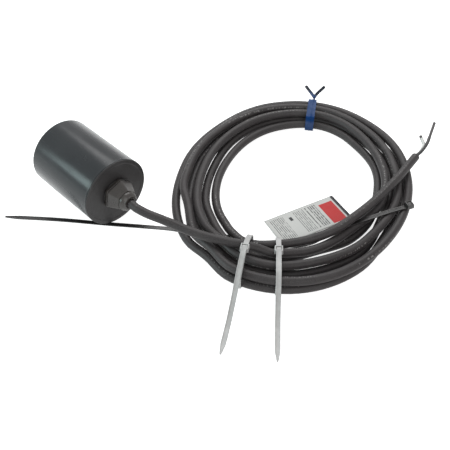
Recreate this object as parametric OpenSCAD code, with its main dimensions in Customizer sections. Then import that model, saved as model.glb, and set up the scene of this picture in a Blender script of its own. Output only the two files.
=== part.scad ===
// Tethered float switch for a pump: a cylindrical float that holds a rolling ball, a cam
// lever and a snap switch, on a round two-core cord that is coiled and tied for storage.
// The float lies on its side along X, with its cord gland towards +X.

/* [Float] */
// Outside diameter of the float
float_d = 72; // [69:1:82]
// Length of the float from end to end, cap included
float_l = 90; // [86:1:120]
// Wall of the float's shell
shell_wall = 2.5; // [2:0.1:3.2]
// Radius that rounds the rim at each end
rim_r = 2; // [1:0.25:2.5]
// Thickness of the end cap's face
cap_t = 4; // [3.5:0.25:6]
// Thickness of the cap's lip over the shell's end
lip_t = 1.2; // [1:0.1:2]
// Depth of the cap's spigot inside the shell
spigot_l = 8; // [7:0.5:10]
// Thickness of the rubber ring that seals the cap
seal_t = 2; // [1.5:0.1:2]

/* [Cord gland] */
// Distance that the gland stands out of the cap
gland_l = 22; // [20:0.5:30]
// Width of the gland's nut across its flats
nut_af = 30; // [27:0.5:33]
// Length of the nut's round nose
nose_l = 6; // [5:0.5:9]
// Diameter of the gland's threaded spigot
gland_thread_d = 20; // [19:0.5:21]
// Thickness of the sealing washer under the gland
washer_t = 1.2; // [0.8:0.1:2]
// Thickness of the lock nut inside the float
locknut_t = 5; // [3:0.5:6]

/* [Ball and lever] */
// Diameter of the steel ball
ball_d = 19; // [17:0.5:20]
// Distance that the ball rolls
ball_travel = 24; // [20:1:26]
// Angle that the ball lifts the lever, in degrees
lever_lift = 6; // [4:0.5:7]
// Length of the lever from its pivot
lever_l = 32; // [30:1:34]
// Thickness of the lever's arm
lever_t = 2.2; // [1.8:0.1:2.6]
// Diameter of the lever's pivot pin
pin_d = 3; // [2.5:0.1:3.5]
// Wall of the tube that the ball rolls in
tunnel_wall = 3; // [2:0.25:3.5]

/* [Snap switch] */
// Length of the switch's case
case_l = 36; // [35:0.5:38]
// Height of the switch's case
case_h = 17; // [16.5:0.25:18]
// Thickness of the switch's case
case_w = 10.3; // [9.5:0.1:11]
// Wall of the switch's case
case_wall = 2; // [1.8:0.1:2.2]
// Diameter of the plunger
plunger_d = 3.2; // [2.6:0.1:3.4]

/* [Cord] */
// Diameter of the cord
cord_d = 8.8; // [8:0.1:8.8]
// Turns in the coil
turns = 5.87; // [5.7:0.01:5.95]
// Mean radius of the innermost turn
inner_r = 88; // [84:1:100]
// Mean distance from one turn to the next
strand_pitch = 12.8; // [12.8:0.1:14]
// Diameter of a core with its insulation
core_d = 3.6; // [2.6:0.1:3.7]
// Diameter of a core's bare strands
strands_d = 3.2; // [1.9:0.1:3.3]

/* [Ties and tag] */
// Width of the nylon ties' straps
strap_w = 5; // [4:0.1:6]
// Thickness of the nylon ties' straps
strap_t = 1.2; // [1:0.05:1.25]
// Width of the twist tie
twist_w = 9.5; // [4:0.5:11]
// Length of the tag
tag_l = 81; // [70:1:85]
// Width of the tag
tag_w = 38; // [34:1:40]
// Thickness of the tag
tag_t = 0.4; // [0.2:0.05:0.5]

/* [Hidden] */
$fn = 64;

// Clearances
slip = 0.05;      // between parts that fit or turn in each other
gap = 0.3;        // between parts that only lie beside each other
pin_slip = 0.02;  // between the lever's pin and the chassis that grips it
floor_gap = 0.1;  // between the ties and the surface that the part lies on
eps = 0.01;       // overrun of a cut through a face

// The float's own stations along X
shell_r = float_d / 2;
bore_r = shell_r - shell_wall;
axis_z = shell_r;
blind_x = -(float_l + gland_l) / 2;
face_x = blind_x + float_l;
cap_x = face_x - cap_t;
seam_x = face_x - lip_t;
spigot_x = cap_x - spigot_l;
spigot_t = 2.5;
gland_x = face_x + gland_l;

// Gland
flange_t = 3;
nut_r = nut_af / 2 / cos(30);  // to the corners of the nut and of the body's flange
nut_taper = 5.5;               // how much nearer the corners are at the nut's front
nut_turn = -13;                // from a corner straight down
washer_r = nut_r - 1.8;
nut_x = face_x + washer_t + flange_t + gap;
nose_x = gland_x - nose_l;
neck_r = cord_d / 2 + 2.6;
stem_r = cord_d / 2 + 4.2;
nose_r = stem_r + 1.4;
mouth_r = cord_d / 2 + 3.2;
pocket_l = 7;
body_end_x = gland_x - 6;
locknut_x = cap_x - locknut_t;
thread_x = locknut_x - 1;
inner_end_x = thread_x - 3;

// Chassis, ball and lever
tunnel_drop = 13;  // from the float's axis down to the tube's
ball_back = 60;    // from the cap's face back to the ball at rest
pivot_back = 4;    // from the ball back to the lever's pivot
press_l = 12;      // from the pivot to the plunger
plate_back = 6;    // from the pivot to the side plate's end
ear_front = 4;     // from the pivot to the ear's front
tunnel_z = axis_z - tunnel_drop;
tunnel_bore_r = ball_d / 2 + 0.4;
tunnel_r = tunnel_bore_r + tunnel_wall;
ball_x = face_x - ball_back;
tunnel_in = ball_x - ball_d / 2 - gap;
tunnel_out = ball_x + ball_travel + ball_d / 2 + gap;
plug_t = 3;
tube_end = 1;  // tube past its plug
chassis_x0 = tunnel_in - 2.5;
chassis_x1 = cap_x - 8;
lug_t = 3;
post_y = 20.5;
post_d = 7;
screw_d = 3;
head_d = 5.5;
head_t = 2;
lug_half = post_d / 2 + 0.5;
shelf_l = 6;
shelf_z = tunnel_z + 1;
pivot_x = ball_x - pivot_back;
pivot_z = tunnel_z + tunnel_r + 3;
hub_r = pin_d / 2 + 1.5;
lever_w = case_w - 0.5;
rib_w = 6;
slot_w = rib_w + 2;
plate_t = 3;

// Switch
case_x = pivot_x + 2;
case_z = pivot_z + lever_t / 2 + lever_l * sin(lever_lift) + 0.8;
case_y = case_w / 2;
cover_t = 1;
case_end = 6;    // solid end of the case, round its screw
case_floor = 1.5;
cavity_x0 = case_x + case_end;
cavity_x1 = case_x + case_l - case_end;
case_hole_z = case_z + 3.2;
case_hole_x = [case_x + case_end / 2, case_x + case_l - case_end / 2];
plunger_x = pivot_x + press_l;
plunger_lift = press_l * sin(lever_lift);
plunger_z = pivot_z + lever_t / 2 + gap;
common_z = case_z + 6.3;
strip_t = 0.8;
strip_w = 5;
blade_pivot_r = 0.6;
blade_z = common_z + strip_t + blade_pivot_r;
blade_t = 0.4;
blade_x = cavity_x1 - 1.5;
button_d = 4;
button_t = 0.8;
button_x = plunger_x - 0.5;
contact_gap = (blade_x - button_x) / (blade_x - plunger_x) * plunger_lift + gap;
load_z = blade_z + blade_t + 2 * button_t + contact_gap;
tab_l = 7;
tab_x = case_x + case_l;
socket_x0 = tab_x + 1.5;
socket_l = 8.5;
socket_h = 3;
socket_wall = 1;

// Cord: the lead's and the tail's points, and the coil's plan
cord_r = cord_d / 2;
coil_c = [127, 160.5];
start_dir = 310;
k_start = 0.77;
oval = 10;
oval_dir = 114;
egg = 1.5;
egg_dir = 40;
fan = 3.2;
fan_dir = 304;
// Where the turns stray: direction, half width, and how far the innermost and outermost go
strays = [
    [70, 30, -2.5, 1], [112, 30, 2.5, 2], [145, 40, 0, 1.5], [165, 60, -4, 0],
    [208, 42, 0, 5.5], [242, 30, 0, 3], [275, 13, 0, -5], [315, 50, 0, 3.5]
];
// Single turns that stray: direction, half width, place in the band, reach in places,
// 1 for the upper layer or 0 for the lower, and how far
loose = [
    [345, 32, 0.85, 0.6, 1, -4], [4, 30, 0.8, 0.6, 0, 2.8], [24, 34, 1.5, 1.3, 1, 3.8],
    [346, 30, 1.8, 0.6, 0, 3.5], [8, 24, 1.7, 0.5, 0, -1.8], [3, 26, 2.7, 0.5, 0, -4.2],
    [64, 26, 1.4, 3.2, 0, 3.2], [203, 28, 1.2, 0.7, 0, -1], [249, 20, 2.6, 0.45, 1, -6],
    [260, 20, 1, 0.5, 0, -2.6], [322, 26, 0.85, 0.6, 0, -6.6], [322, 26, 1.8, 0.6, 1, -3.2]
];
tuck = 4.4;      // how far all but the innermost turn lie inwards at one side
tuck_dir = 230;
tuck_half = 62;
low_z = floor_gap + strap_t + gap + cord_r;
layer = cord_d + 0.6;
lead_route = [
    [76, 3.5, 33.8], [88, 9, 31.6], [100.5, 14.5, 29.4], [114, 19.5, 27.7], [128, 25.5, 26.5],
    [142, 33, 25.4], [155, 41.5, 24.2], [165.5, 49.5, 22], [174.5, 57, 18.5]
];
tail_route = [
    [134, 61.5, 7], [147.5, 59.5, 8.3], [160, 61.5, 10.5], [171.5, 68, 13.4], [182, 78, 14.8],
    [191, 89.5, 15.6], [201, 102.5, 18.5], [209.5, 117, 22.8], [213.5, 131, 25.5],
    [215, 147, 26.2], [215.5, 168, 26], [214.5, 192, 25.6], [211, 229, 25.2], [205, 266, 24.6]
];
core_black_route = [[205.3, 275.9, 26.2], [203.9, 284.9, 26.5], [201.7, 293.4, 27], [198.7, 300.9, 27.6]];
core_white_route = [[203.1, 277.8, 22.9], [201.4, 285.4, 23], [198.8, 291.4, 23.6], [192.6, 295.4, 25.6]];
core_lean = [-3, 0, 2];  // square to this the cores lie one over the other in the jacket
strands_black_l = 25;
strands_white_l = 3.5;

// Wires inside the float, from the cord's inner end to the switch's tabs
wire_turn_y = 12;
core_y = core_d / 2 + 0.2;

// Ties: a plane through each head, its direction seen from above, and outlines in it
near_head = [168, 44, 0];
near_dir = 302;
far_head = [190.5, 65.5, 0];
far_dir = 312;
head_l = 8;
head_w = strap_w + 3.5;
head_h = 5;
long_route = [
    [-50, -82, 0.7], [-8, -46, 0.7], [33, -13.7, 0.7], [61.5, 9.5, 0.7], [84, 27, 0.7],
    [110, 43, 0.7], [132, 60, 0.7], [152, 71.5, 0.7], [172, 86, 0.7], [186, 96.5, 1.2],
    [197, 108, 5.5], [204, 118.5, 13], [210, 129, 18.8], [217, 144, 20.9], [224.5, 163, 20.9],
    [233, 184, 20.9], [240, 199, 20.9]
];
twist_dir = 121;
twist_yaw = 4;  // the tie stands askew on the bundle
stem_l = 1.5;
stem_d = 2.4;
end_d = 2.6;
stem_aside = 1.5;
twist_ends = [[21, 11.5], [18.5, -10]];  // how far each end reaches, out and aside
tag_corner = [169.1, 86.5, 9.3];
tag_dir = 72.5;
tag_tuck = 14;

// ---------- points and curves ----------

function unit(v) = v / norm(v);

function blend(u) = let (w = max(0, min(1, u))) w * w * (3 - 2 * w);

// One point of a smooth curve between b and c, which also follows a and d
function between(a, b, c, d, u) =
    0.5 * ((2 * b) + (c - a) * u + (2 * a - 5 * b + 4 * c - d) * u * u
        + (3 * b - a - 3 * c + d) * u * u * u);

function smooth(p, n) = let (m = len(p) - 1) [
    for (i = [0:m - 1], j = [0:n - 1])
        between(
            i == 0 ? 2 * p[0] - p[1] : p[i - 1], p[i], p[i + 1],
            i + 2 > m ? 2 * p[m] - p[m - 1] : p[i + 2], j / n),
    p[m]
];

function heading(p, i) = unit(p[min(i + 1, len(p) - 1)] - p[max(i - 1, 0)]);

// The outline's points round p[i], square to the path, the outline's Y upwards
function ring(p, i, outline) =
    let (t = heading(p, i), s = unit(cross([0, 0, 1], t)), u = cross(t, s))
    [for (q = outline) p[i] + s * q[0] + u * q[1]];

function round_outline(r, n) = [for (i = [0:n - 1]) r * [cos(90 + 360 * i / n), sin(90 + 360 * i / n)]];

// A smooth curve whose first and last stretches stay straight
function straight_ends(p, n) = let (m = len(p) - 1) [
    p[0],
    for (i = [1:m - 2], j = [0:n - 1]) between(p[i - 1], p[i], p[i + 1], p[i + 2], j / n),
    p[m - 1],
    p[m]
];

// A closed outline drawn along a path, as one solid with triangular faces
module sweep(p, outline) {
    n = len(outline);
    m = len(p);
    polyhedron(
        [for (i = [0:m - 1]) each ring(p, i, outline)],
        [
            for (i = [0:m - 2], j = [0:n - 1])
                let (a = i * n + j, b = i * n + (j + 1) % n) each [[a, b + n, b], [a, a + n, b + n]],
            for (j = [1:n - 2]) each [
                [0, j, j + 1],
                [(m - 1) * n, (m - 1) * n + j + 1, (m - 1) * n + j]
            ]
        ],
        convexity = 10
    );
}

// A straight rod from a to b
module rod(a, b, d) {
    v = b - a;
    translate(a)
        rotate([0, acos(v[2] / norm(v)), atan2(v[1], v[0])])
            cylinder(h = norm(v), d = d);
}

// A cylinder along X from x0 to x1, round the float's axis or another line
module along_x(x0, x1, r, y = 0, z = axis_z, n = $fn) {
    translate([x0, y, z])
        rotate([0, 90, 0])
            cylinder(h = x1 - x0, r = r, $fn = n);
}

// A hexagon along X, from r0 to r1 at its corners
module hexagon_x(x0, x1, r0, r1) {
    translate([x0, 0, axis_z])
        rotate([0, 90, 0])
            rotate(nut_turn)
                cylinder(h = x1 - x0, r1 = r0, r2 = r1, $fn = 6);
}

// A cylinder along Y from y0 to y1
module along_y(y0, y1, r, x, z) {
    translate([x, y0, z])
        rotate([-90, 0, 0])
            cylinder(h = y1 - y0, r = r);
}

// A block between two corners
module block(a, b) {
    translate(a)
        cube(b - a);
}

// A turned solid on the float's axis, its outline's points being [radius, x]
module turned(points) {
    translate([0, 0, axis_z])
        rotate([0, 90, 0])
            rotate_extrude()
                polygon(points);
}

// ---------- float ----------

function arc(c, r, a0, a1, n = 6) =
    [for (i = [0:n]) let (a = a0 + (a1 - a0) * i / n) c + r * [cos(a), sin(a)]];

module float_shell() {
    color([0.20, 0.24, 0.27])
        turned(concat(
            [[0, blind_x]],
            arc([shell_r - rim_r, blind_x + rim_r], rim_r, -90, 0),
            [
                [shell_r, seam_x - gap], [shell_r - gap, seam_x], [bore_r, seam_x],
                [bore_r, blind_x + shell_wall + 1], [bore_r - 1, blind_x + shell_wall],
                [0, blind_x + shell_wall]
            ]
        ));
}

module end_cap() {
    groove_x = spigot_x + spigot_l / 2;
    edge_r = min(rim_r / 2, lip_t - gap);
    color([0.17, 0.19, 0.21])
        difference() {
            union() {
                turned(concat(
                    [
                        [0, cap_x], [bore_r - slip, cap_x], [bore_r - slip, seam_x],
                        [shell_r - gap, seam_x], [shell_r, seam_x + gap]
                    ],
                    arc([shell_r - edge_r, face_x - edge_r], edge_r, 0, 90),
                    [[0, face_x]]
                ));
                difference() {
                    along_x(spigot_x, cap_x + eps, bore_r - slip);
                    along_x(spigot_x - eps, cap_x, bore_r - slip - spigot_t);
                    seal_groove(groove_x);
                }
                for (side = [-1, 1])
                    along_x(chassis_x1, cap_x + eps, post_d / 2, side * post_y);
            }
            along_x(cap_x - eps, face_x + eps, gland_thread_d / 2 + slip);
            for (side = [-1, 1])
                along_x(chassis_x1 - eps, cap_x, screw_d / 2 + slip, side * post_y);
        }
}

module seal_groove(x) {
    turned([
        [bore_r - 1.5, x - seal_t / 2 - slip], [bore_r + 1, x - seal_t / 2 - slip],
        [bore_r + 1, x + seal_t / 2 + slip], [bore_r - 1.5, x + seal_t / 2 + slip]
    ]);
}

module cap_seal() {
    r = seal_t / 2;
    color([0.06, 0.06, 0.06])
        translate([spigot_x + spigot_l / 2, 0, axis_z])
            rotate([0, 90, 0])
                rotate_extrude()
                    intersection() {
                        translate([bore_r - 1.5 + r + slip, 0])
                            circle(r = r);
                        translate([0, -r])
                            square([bore_r - slip, 2 * r]);
                    }
}

// ---------- gland ----------

module gland_washer() {
    color([0.07, 0.07, 0.07])
        difference() {
            along_x(face_x, face_x + washer_t, washer_r);
            along_x(face_x - eps, face_x + washer_t + eps, gland_thread_d / 2 + slip);
        }
}

module gland_body() {
    base_x = face_x + washer_t;
    color([0.16, 0.15, 0.15])
        difference() {
            union() {
                along_x(thread_x, base_x, gland_thread_d / 2);
                hexagon_x(base_x, base_x + flange_t, nut_r, nut_r);
                along_x(base_x, body_end_x, stem_r);
            }
            along_x(thread_x - eps, body_end_x + eps, cord_r + slip);
            along_x(body_end_x - pocket_l, body_end_x + eps, neck_r);
        }
}

module gland_nut() {
    color([0.18, 0.165, 0.16])
        difference() {
            union() {
                hexagon_x(nut_x, nose_x, nut_r, nut_r - nut_taper);
                turned([
                    [0, nose_x - 1], [nose_r, nose_x - 1], [nose_r, nose_x + nose_l * 0.4],
                    [(nose_r + mouth_r) / 2 + 0.6, nose_x + nose_l * 0.8], [mouth_r, gland_x],
                    [0, gland_x]
                ]);
            }
            along_x(nut_x - eps, body_end_x + gap, stem_r + slip);
            along_x(nut_x, gland_x + eps, cord_r + 0.5);
        }
}

module gland_grommet() {
    color([0.05, 0.05, 0.05])
        difference() {
            along_x(body_end_x - pocket_l, body_end_x, neck_r - slip);
            along_x(body_end_x - pocket_l - eps, body_end_x + eps, cord_r + slip);
        }
}

module gland_locknut() {
    color([0.20, 0.20, 0.20])
        difference() {
            along_x(locknut_x, cap_x, gland_thread_d / 2 + 4, n = 6);
            along_x(locknut_x - eps, cap_x + eps, gland_thread_d / 2 + slip);
        }
}

module cord_inner_end() {
    color([0.22, 0.21, 0.21])
        along_x(inner_end_x, gland_x, cord_r);
}

// ---------- chassis ----------

module switch_chassis() {
    plate_y = -case_y - slip;
    ear_y = case_y + slip;
    plate_foot = tunnel_z + tunnel_r * 0.6;
    top = case_z + case_h;
    color([0.75, 0.73, 0.66])
        difference() {
            union() {
                along_x(chassis_x0, tunnel_out + plug_t + tube_end, tunnel_r, z = tunnel_z);
                block([pivot_x - plate_back, plate_y - plate_t, plate_foot], [tab_x, plate_y, top]);
                block(
                    [pivot_x - plate_back, ear_y, plate_foot],
                    [pivot_x + ear_front, ear_y + plate_t, pivot_z + hub_r + 0.5]
                );
                block(
                    [tab_x - shelf_l, -post_y - lug_half, shelf_z],
                    [chassis_x1, post_y + lug_half, shelf_z + plate_t]
                );
                for (side = [-1, 1])
                    block(
                        [chassis_x1 - lug_t, side * post_y - lug_half, shelf_z],
                        [chassis_x1, side * post_y + lug_half, axis_z + lug_half]
                    );
            }
            along_x(tunnel_in, chassis_x1, tunnel_bore_r, z = tunnel_z);
            block(
                [pivot_x - hub_r - 1, -slot_w / 2, tunnel_z],
                [pivot_x + lever_l + 1.5, slot_w / 2, tunnel_z + tunnel_r + 1]
            );
            along_y(plate_y - plate_t - eps, plate_y + eps, pin_d / 2 + pin_slip, pivot_x, pivot_z);
            along_y(ear_y - eps, ear_y + plate_t + eps, pin_d / 2 + pin_slip, pivot_x, pivot_z);
            for (x = case_hole_x)
                along_y(plate_y - plate_t - eps, plate_y + eps, screw_d / 2 + slip, x, case_hole_z);
            for (side = [-1, 1])
                along_x(
                    chassis_x1 - lug_t - eps, chassis_x1 + eps, screw_d / 2 + slip,
                    side * post_y);
        }
}

module chassis_screws() {
    color([0.70, 0.70, 0.72])
        for (side = [-1, 1]) {
            along_x(chassis_x1 - lug_t, cap_x - 1, screw_d / 2, side * post_y);
            along_x(chassis_x1 - lug_t - head_t, chassis_x1 - lug_t, head_d / 2, side * post_y);
        }
}

module tunnel_plug() {
    color([0.35, 0.35, 0.36])
        along_x(tunnel_out, tunnel_out + plug_t, tunnel_bore_r - slip, z = tunnel_z);
}

module steel_ball() {
    color([0.75, 0.76, 0.78])
        translate([ball_x, 0, tunnel_z])
            sphere(d = ball_d);
}

module lever_pin() {
    color([0.72, 0.73, 0.75])
        along_y(-case_y - slip - plate_t, case_y + slip + plate_t, pin_d / 2, pivot_x, pivot_z);
}

// The lever's underside is cut by the ball at each step of its travel, so that the ball
// lifts it at a steady rate
module cam_lever() {
    steps = 12;
    half = lever_w / 2;
    color([0.86, 0.55, 0.22])
        difference() {
            union() {
                along_y(-half, half, hub_r, pivot_x, pivot_z);
                block(
                    [pivot_x, -half, pivot_z - lever_t / 2],
                    [pivot_x + lever_l, half, pivot_z + lever_t / 2]
                );
                block(
                    [pivot_x, -rib_w / 2, tunnel_z + 2],
                    [pivot_x + lever_l, rib_w / 2, pivot_z]
                );
            }
            along_y(-half - eps, half + eps, pin_d / 2 + slip, pivot_x, pivot_z);
            for (i = [0:steps])
                translate([pivot_x, 0, pivot_z])
                    rotate([0, lever_lift * i / steps, 0])
                        translate([ball_x + ball_travel * i / steps - pivot_x, 0, tunnel_z - pivot_z])
                            rotate([90, 0, 0])
                                cylinder(h = slot_w, r = ball_d / 2 + gap, center = true);
        }
}

// ---------- snap switch ----------

module switch_case() {
    color([0.12, 0.12, 0.13])
        difference() {
            block([case_x, -case_y, case_z], [case_x + case_l, case_y - cover_t, case_z + case_h]);
            block(
                [cavity_x0, -case_y + case_floor, case_z + case_wall],
                [cavity_x1, case_y, case_z + case_h - case_wall]
            );
            translate([plunger_x, 0, case_z - eps])
                cylinder(h = case_wall + 2 * eps, r = plunger_d / 2 + slip);
            for (x = case_hole_x)
                along_y(-case_y - eps, case_y, screw_d / 2 + slip, x, case_hole_z);
            for (z = [common_z, load_z])
                block(
                    [cavity_x1 - eps, -strip_w / 2 - slip, z - slip],
                    [tab_x + eps, strip_w / 2 + slip, z + strip_t + slip]
                );
        }
}

module switch_cover() {
    color([0.16, 0.16, 0.17])
        difference() {
            block([case_x, case_y - cover_t, case_z], [case_x + case_l, case_y, case_z + case_h]);
            for (x = case_hole_x)
                along_y(case_y - cover_t - eps, case_y + eps, screw_d / 2 + slip, x, case_hole_z);
        }
}

module switch_screws() {
    color([0.70, 0.70, 0.72])
        for (x = case_hole_x) {
            along_y(-case_y - slip - plate_t, case_y, screw_d / 2, x, case_hole_z);
            along_y(case_y, case_y + head_t, head_d / 2, x, case_hole_z);
        }
}

module plunger() {
    collar_z = case_z + case_wall + gap;
    color([0.85, 0.18, 0.14]) {
        translate([plunger_x, 0, plunger_z])
            cylinder(h = blade_z - gap - plunger_z, d = plunger_d);
        translate([plunger_x, 0, collar_z])
            cylinder(h = 1, d = plunger_d + 2);
    }
}

module moving_contact() {
    color([0.80, 0.55, 0.30]) {
        block(
            [cavity_x0 + 1, -strip_w / 2, blade_z],
            [blade_x, strip_w / 2, blade_z + blade_t]
        );
        along_y(-strip_w / 2, strip_w / 2, blade_pivot_r, blade_x, blade_z + blade_t / 2);
        translate([button_x, 0, blade_z + blade_t - eps])
            cylinder(h = button_t + eps, d = button_d);
    }
}

module fixed_contact() {
    color([0.85, 0.84, 0.80])
        translate([button_x, 0, load_z - button_t])
            cylinder(h = button_t, d = button_d);
}

module terminal_common() {
    post_h = blade_z + blade_t / 2 - blade_pivot_r - slip - common_z - strip_t;
    color([0.83, 0.68, 0.33]) {
        block(
            [blade_x - 3, -strip_w / 2, common_z],
            [tab_x + tab_l, strip_w / 2, common_z + strip_t]
        );
        block(
            [blade_x - 0.8, -strip_w / 2, common_z + strip_t - eps],
            [blade_x + 0.8, strip_w / 2, common_z + strip_t + post_h]
        );
    }
}

module terminal_load() {
    color([0.83, 0.68, 0.33])
        block(
            [button_x - button_d / 2, -strip_w / 2, load_z],
            [tab_x + tab_l, strip_w / 2, load_z + strip_t]
        );
}

module wire_sockets() {
    color([0.90, 0.88, 0.82])
        for (z = [common_z, load_z])
            difference() {
                block(
                    [socket_x0, -strip_w / 2 - socket_wall, z + strip_t / 2 - socket_h / 2],
                    [socket_x0 + socket_l, strip_w / 2 + socket_wall, z + strip_t / 2 + socket_h / 2]
                );
                block(
                    [socket_x0 - eps, -strip_w / 2 - slip, z - slip],
                    [tab_x + tab_l + slip, strip_w / 2 + slip, z + strip_t + slip]
                );
            }
}

// One core inside the float, out to one side and back to its socket at height z
module inner_wire(side, z) {
    start = inner_end_x;
    out = socket_x0 + socket_l;
    level = z + strip_t / 2;
    mid = (axis_z + level) / 2;
    sweep(
        straight_ends([
            [start, side * core_y, axis_z], [start - 2, side * core_y, axis_z],
            [start - 5.5, side * 6, axis_z + 2], [start - 6, side * wire_turn_y, mid],
            [start - 1.5, side * wire_turn_y, level - 1.5], [out + 5, side * 6.5, level],
            [out + 4.8, side * 1.5, level], [out + 2, 0, level], [out, 0, level]
        ], 2),
        round_outline(core_d / 2, 8)
    );
}

module wire_black() {
    color([0.05, 0.05, 0.05])
        inner_wire(1, load_z);
}

module wire_white() {
    color([0.85, 0.85, 0.83])
        inner_wire(-1, common_z);
}

// ---------- cord ----------

function turn_dir(t) = start_dir + 360 * t;

top_turn = (turns - k_start) / 2;
high_z = low_z + layer;

// The place of a turn in the band, counted outwards in strands
function coil_k(t) = t < top_turn ? k_start + t : turns - t;

// 1 in the upper layer, 0 in the lower
function upper(t) = 1 - blend((t - top_turn + 0.25) / 0.5);

// From 1 in one direction down to 0 at half on each side of it
function swell(a, dir, half) = let (d = (a - dir + 3.5 * 360) % 360 - 180)
    abs(d) < half ? pow(cos(90 * d / half), 2) : 0;

function total(list, i = 0) = i < len(list) ? list[i] + total(list, i + 1) : 0;

function stray(a, k, up) = let (w = blend((k - 0.4) / 2.4))
    total([for (s = strays) swell(a, s[0], s[1]) * ((1 - w) * s[2] + w * s[3])])
    + total([
        for (s = loose) let (off = abs(k - s[2]) / s[3], layer_share = s[4] * up + (1 - s[4]) * (1 - up))
            off < 1 ? swell(a, s[0], s[1]) * pow(cos(90 * off), 2) * layer_share * s[5] : 0
    ]);

function coil_r(a, k, up) =
    inner_r + oval * cos(2 * (a - oval_dir)) + egg * cos(3 * (a - egg_dir))
    + k * (strand_pitch + fan * cos(a - fan_dir))
    + stray(a, k, up) - tuck * swell(a, tuck_dir, tuck_half) * blend((k - 0.3) * 1.6);

function coil_point(t) = let (a = turn_dir(t), r = coil_r(a, coil_k(t), upper(t)))
    [coil_c[0] + r * cos(a), coil_c[1] + r * sin(a), low_z + layer * upper(t)];

rings = 24;
coil_first = coil_point(0);
coil_last = coil_point(turns);
start_heading = unit(coil_point(0.01) - coil_first);
end_heading = unit(coil_last - coil_point(turns - 0.01));
coil_in = coil_first - start_heading * cord_d;
coil_out = coil_last + end_heading * cord_d;
coil_path = [
    coil_in,
    for (i = [0:floor(turns * rings)]) coil_point(i / rings),
    coil_last,
    coil_out
];

// The least distance between two stretches of the coil that aren't neighbours
function to_stretch(p, a, b) = let (v = b - a, u = max(0, min(1, (p - a) * v / (v * v)))) norm(p - a - v * u);
coil_gap = min([
    for (i = [0:2:len(coil_path) - 1], j = [i + rings / 2:len(coil_path) - 2])
        to_stretch(coil_path[i], coil_path[j], coil_path[j + 1])
]) - cord_d;
coil_length = len_of(coil_path);
function len_of(p, i = 0) = i + 1 < len(p) ? norm(p[i + 1] - p[i]) + len_of(p, i + 1) : 0;

lead_path = straight_ends(concat(
    [[gland_x, 0, axis_z], [gland_x + cord_d, 0, axis_z]],
    lead_route,
    [coil_in - start_heading * cord_d, coil_in]
), 2);
tail_end = tail_route[len(tail_route) - 1];
tail_heading = unit(tail_end - tail_route[len(tail_route) - 2]);
tail_path = straight_ends(concat([coil_out, coil_out + end_heading * 2], tail_route), 2);
echo(coil_gap = coil_gap, coil_length = coil_length);
echo(cord_length = len_of(lead_path) + coil_length + len_of(tail_path));

module cord_lead() {
    color([0.30, 0.29, 0.29])
        sweep(lead_path, round_outline(cord_r, 10));
}

module cord_coil() {
    color([0.29, 0.28, 0.28])
        sweep(coil_path, round_outline(cord_r, 6));
}

module cord_tail() {
    color([0.30, 0.29, 0.29])
        sweep(tail_path, round_outline(cord_r, 10));
}

// A core from the jacket's end, against the other one
function core_path(side, route) =
    let (start = tail_end + side * (core_d / 2 + slip) * unit(cross(core_lean, tail_heading)))
    straight_ends(concat([start, start + 3 * tail_heading], route), 1);

module core(path) {
    sweep(path, round_outline(core_d / 2, 8));
}

// The bare strands that stand out of a core's insulation
function end_of(path) = path[len(path) - 1];
function end_heading_of(path) = unit(end_of(path) - path[len(path) - 2]);

module strands(path, length) {
    rod(end_of(path), end_of(path) + length * end_heading_of(path), strands_d);
}

black_path = core_path(-1, core_black_route);
white_path = core_path(1, core_white_route);
echo(black_strands_from = end_of(black_path), along = end_heading_of(black_path));
echo(white_strands_from = end_of(white_path), along = end_heading_of(white_path));

module core_black() {
    color([0.10, 0.10, 0.10])
        core(black_path);
}

module core_white() {
    color([0.80, 0.80, 0.78])
        core(white_path);
}

module strands_black() {
    color([0.34, 0.33, 0.33])
        strands(black_path, strands_black_l);
}

module strands_white() {
    color([0.46, 0.45, 0.45])
        strands(white_path, strands_white_l);
}

// ---------- ties and tag ----------

function normal_at(p, i, closed) =
    let (
        n = len(p),
        a = closed ? p[(i + n - 1) % n] : p[max(i - 1, 0)],
        b = closed ? p[(i + 1) % n] : p[min(i + 1, n - 1)],
        t = unit(b - a)
    )
    [-t[1], t[0]];

function beside(p, d, closed = false) = [for (i = [0:len(p) - 1]) p[i] + d * normal_at(p, i, closed)];

function reversed(p) = [for (i = [len(p) - 1:-1:0]) p[i]];

// Corners rounded by short curves, each no longer than its sides allow
function corner(a, b, c, reach, n) =
    let (
        t = min(reach, 0.45 * norm(b - a), 0.45 * norm(c - b)),
        from = b + t * unit(a - b),
        to = b + t * unit(c - b)
    )
    [for (j = [0:n]) let (u = j / n) (1 - u) * (1 - u) * from + 2 * u * (1 - u) * b + u * u * to];

function rounded(p, reach, n = 4) = let (m = len(p)) [
    for (i = [0:m - 1]) each corner(p[(i + m - 1) % m], p[i], p[(i + 1) % m], reach, n)
];

function rounded_open(p, reach, n = 3) = let (m = len(p) - 1) [
    p[0],
    for (i = [1:m - 1]) each corner(p[i - 1], p[i], p[i + 1], reach, n),
    p[m]
];

// A strap seen from its edge: a closed loop, and a tail
module loop_outline(p, t) {
    difference() {
        polygon(beside(p, -t / 2, true));
        polygon(beside(p, t / 2, true));
    }
}

module tail_outline(p, t) {
    polygon(concat(beside(p, t / 2), reversed(beside(p, -t / 2))));
}

// A nylon tie in an upright plane: head over the bundle, loop round it and tail to the floor
module nylon_tie(head, dir, loop, tail, head_at) {
    translate(head)
        rotate([90, 0, dir]) {
            linear_extrude(strap_w, center = true) {
                loop_outline(rounded(loop, 4), strap_t);
                tail_outline(rounded_open(tail, 9), strap_t);
            }
            translate([head_at[0], head_at[1], 0])
                cube([head_l, head_h, head_w], center = true);
        }
}

// The loops' floors, and the height of the loops where they lie on the coil
base_z = floor_gap + strap_t / 2;
top_z = high_z + cord_r + strap_t / 2 + gap;

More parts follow.
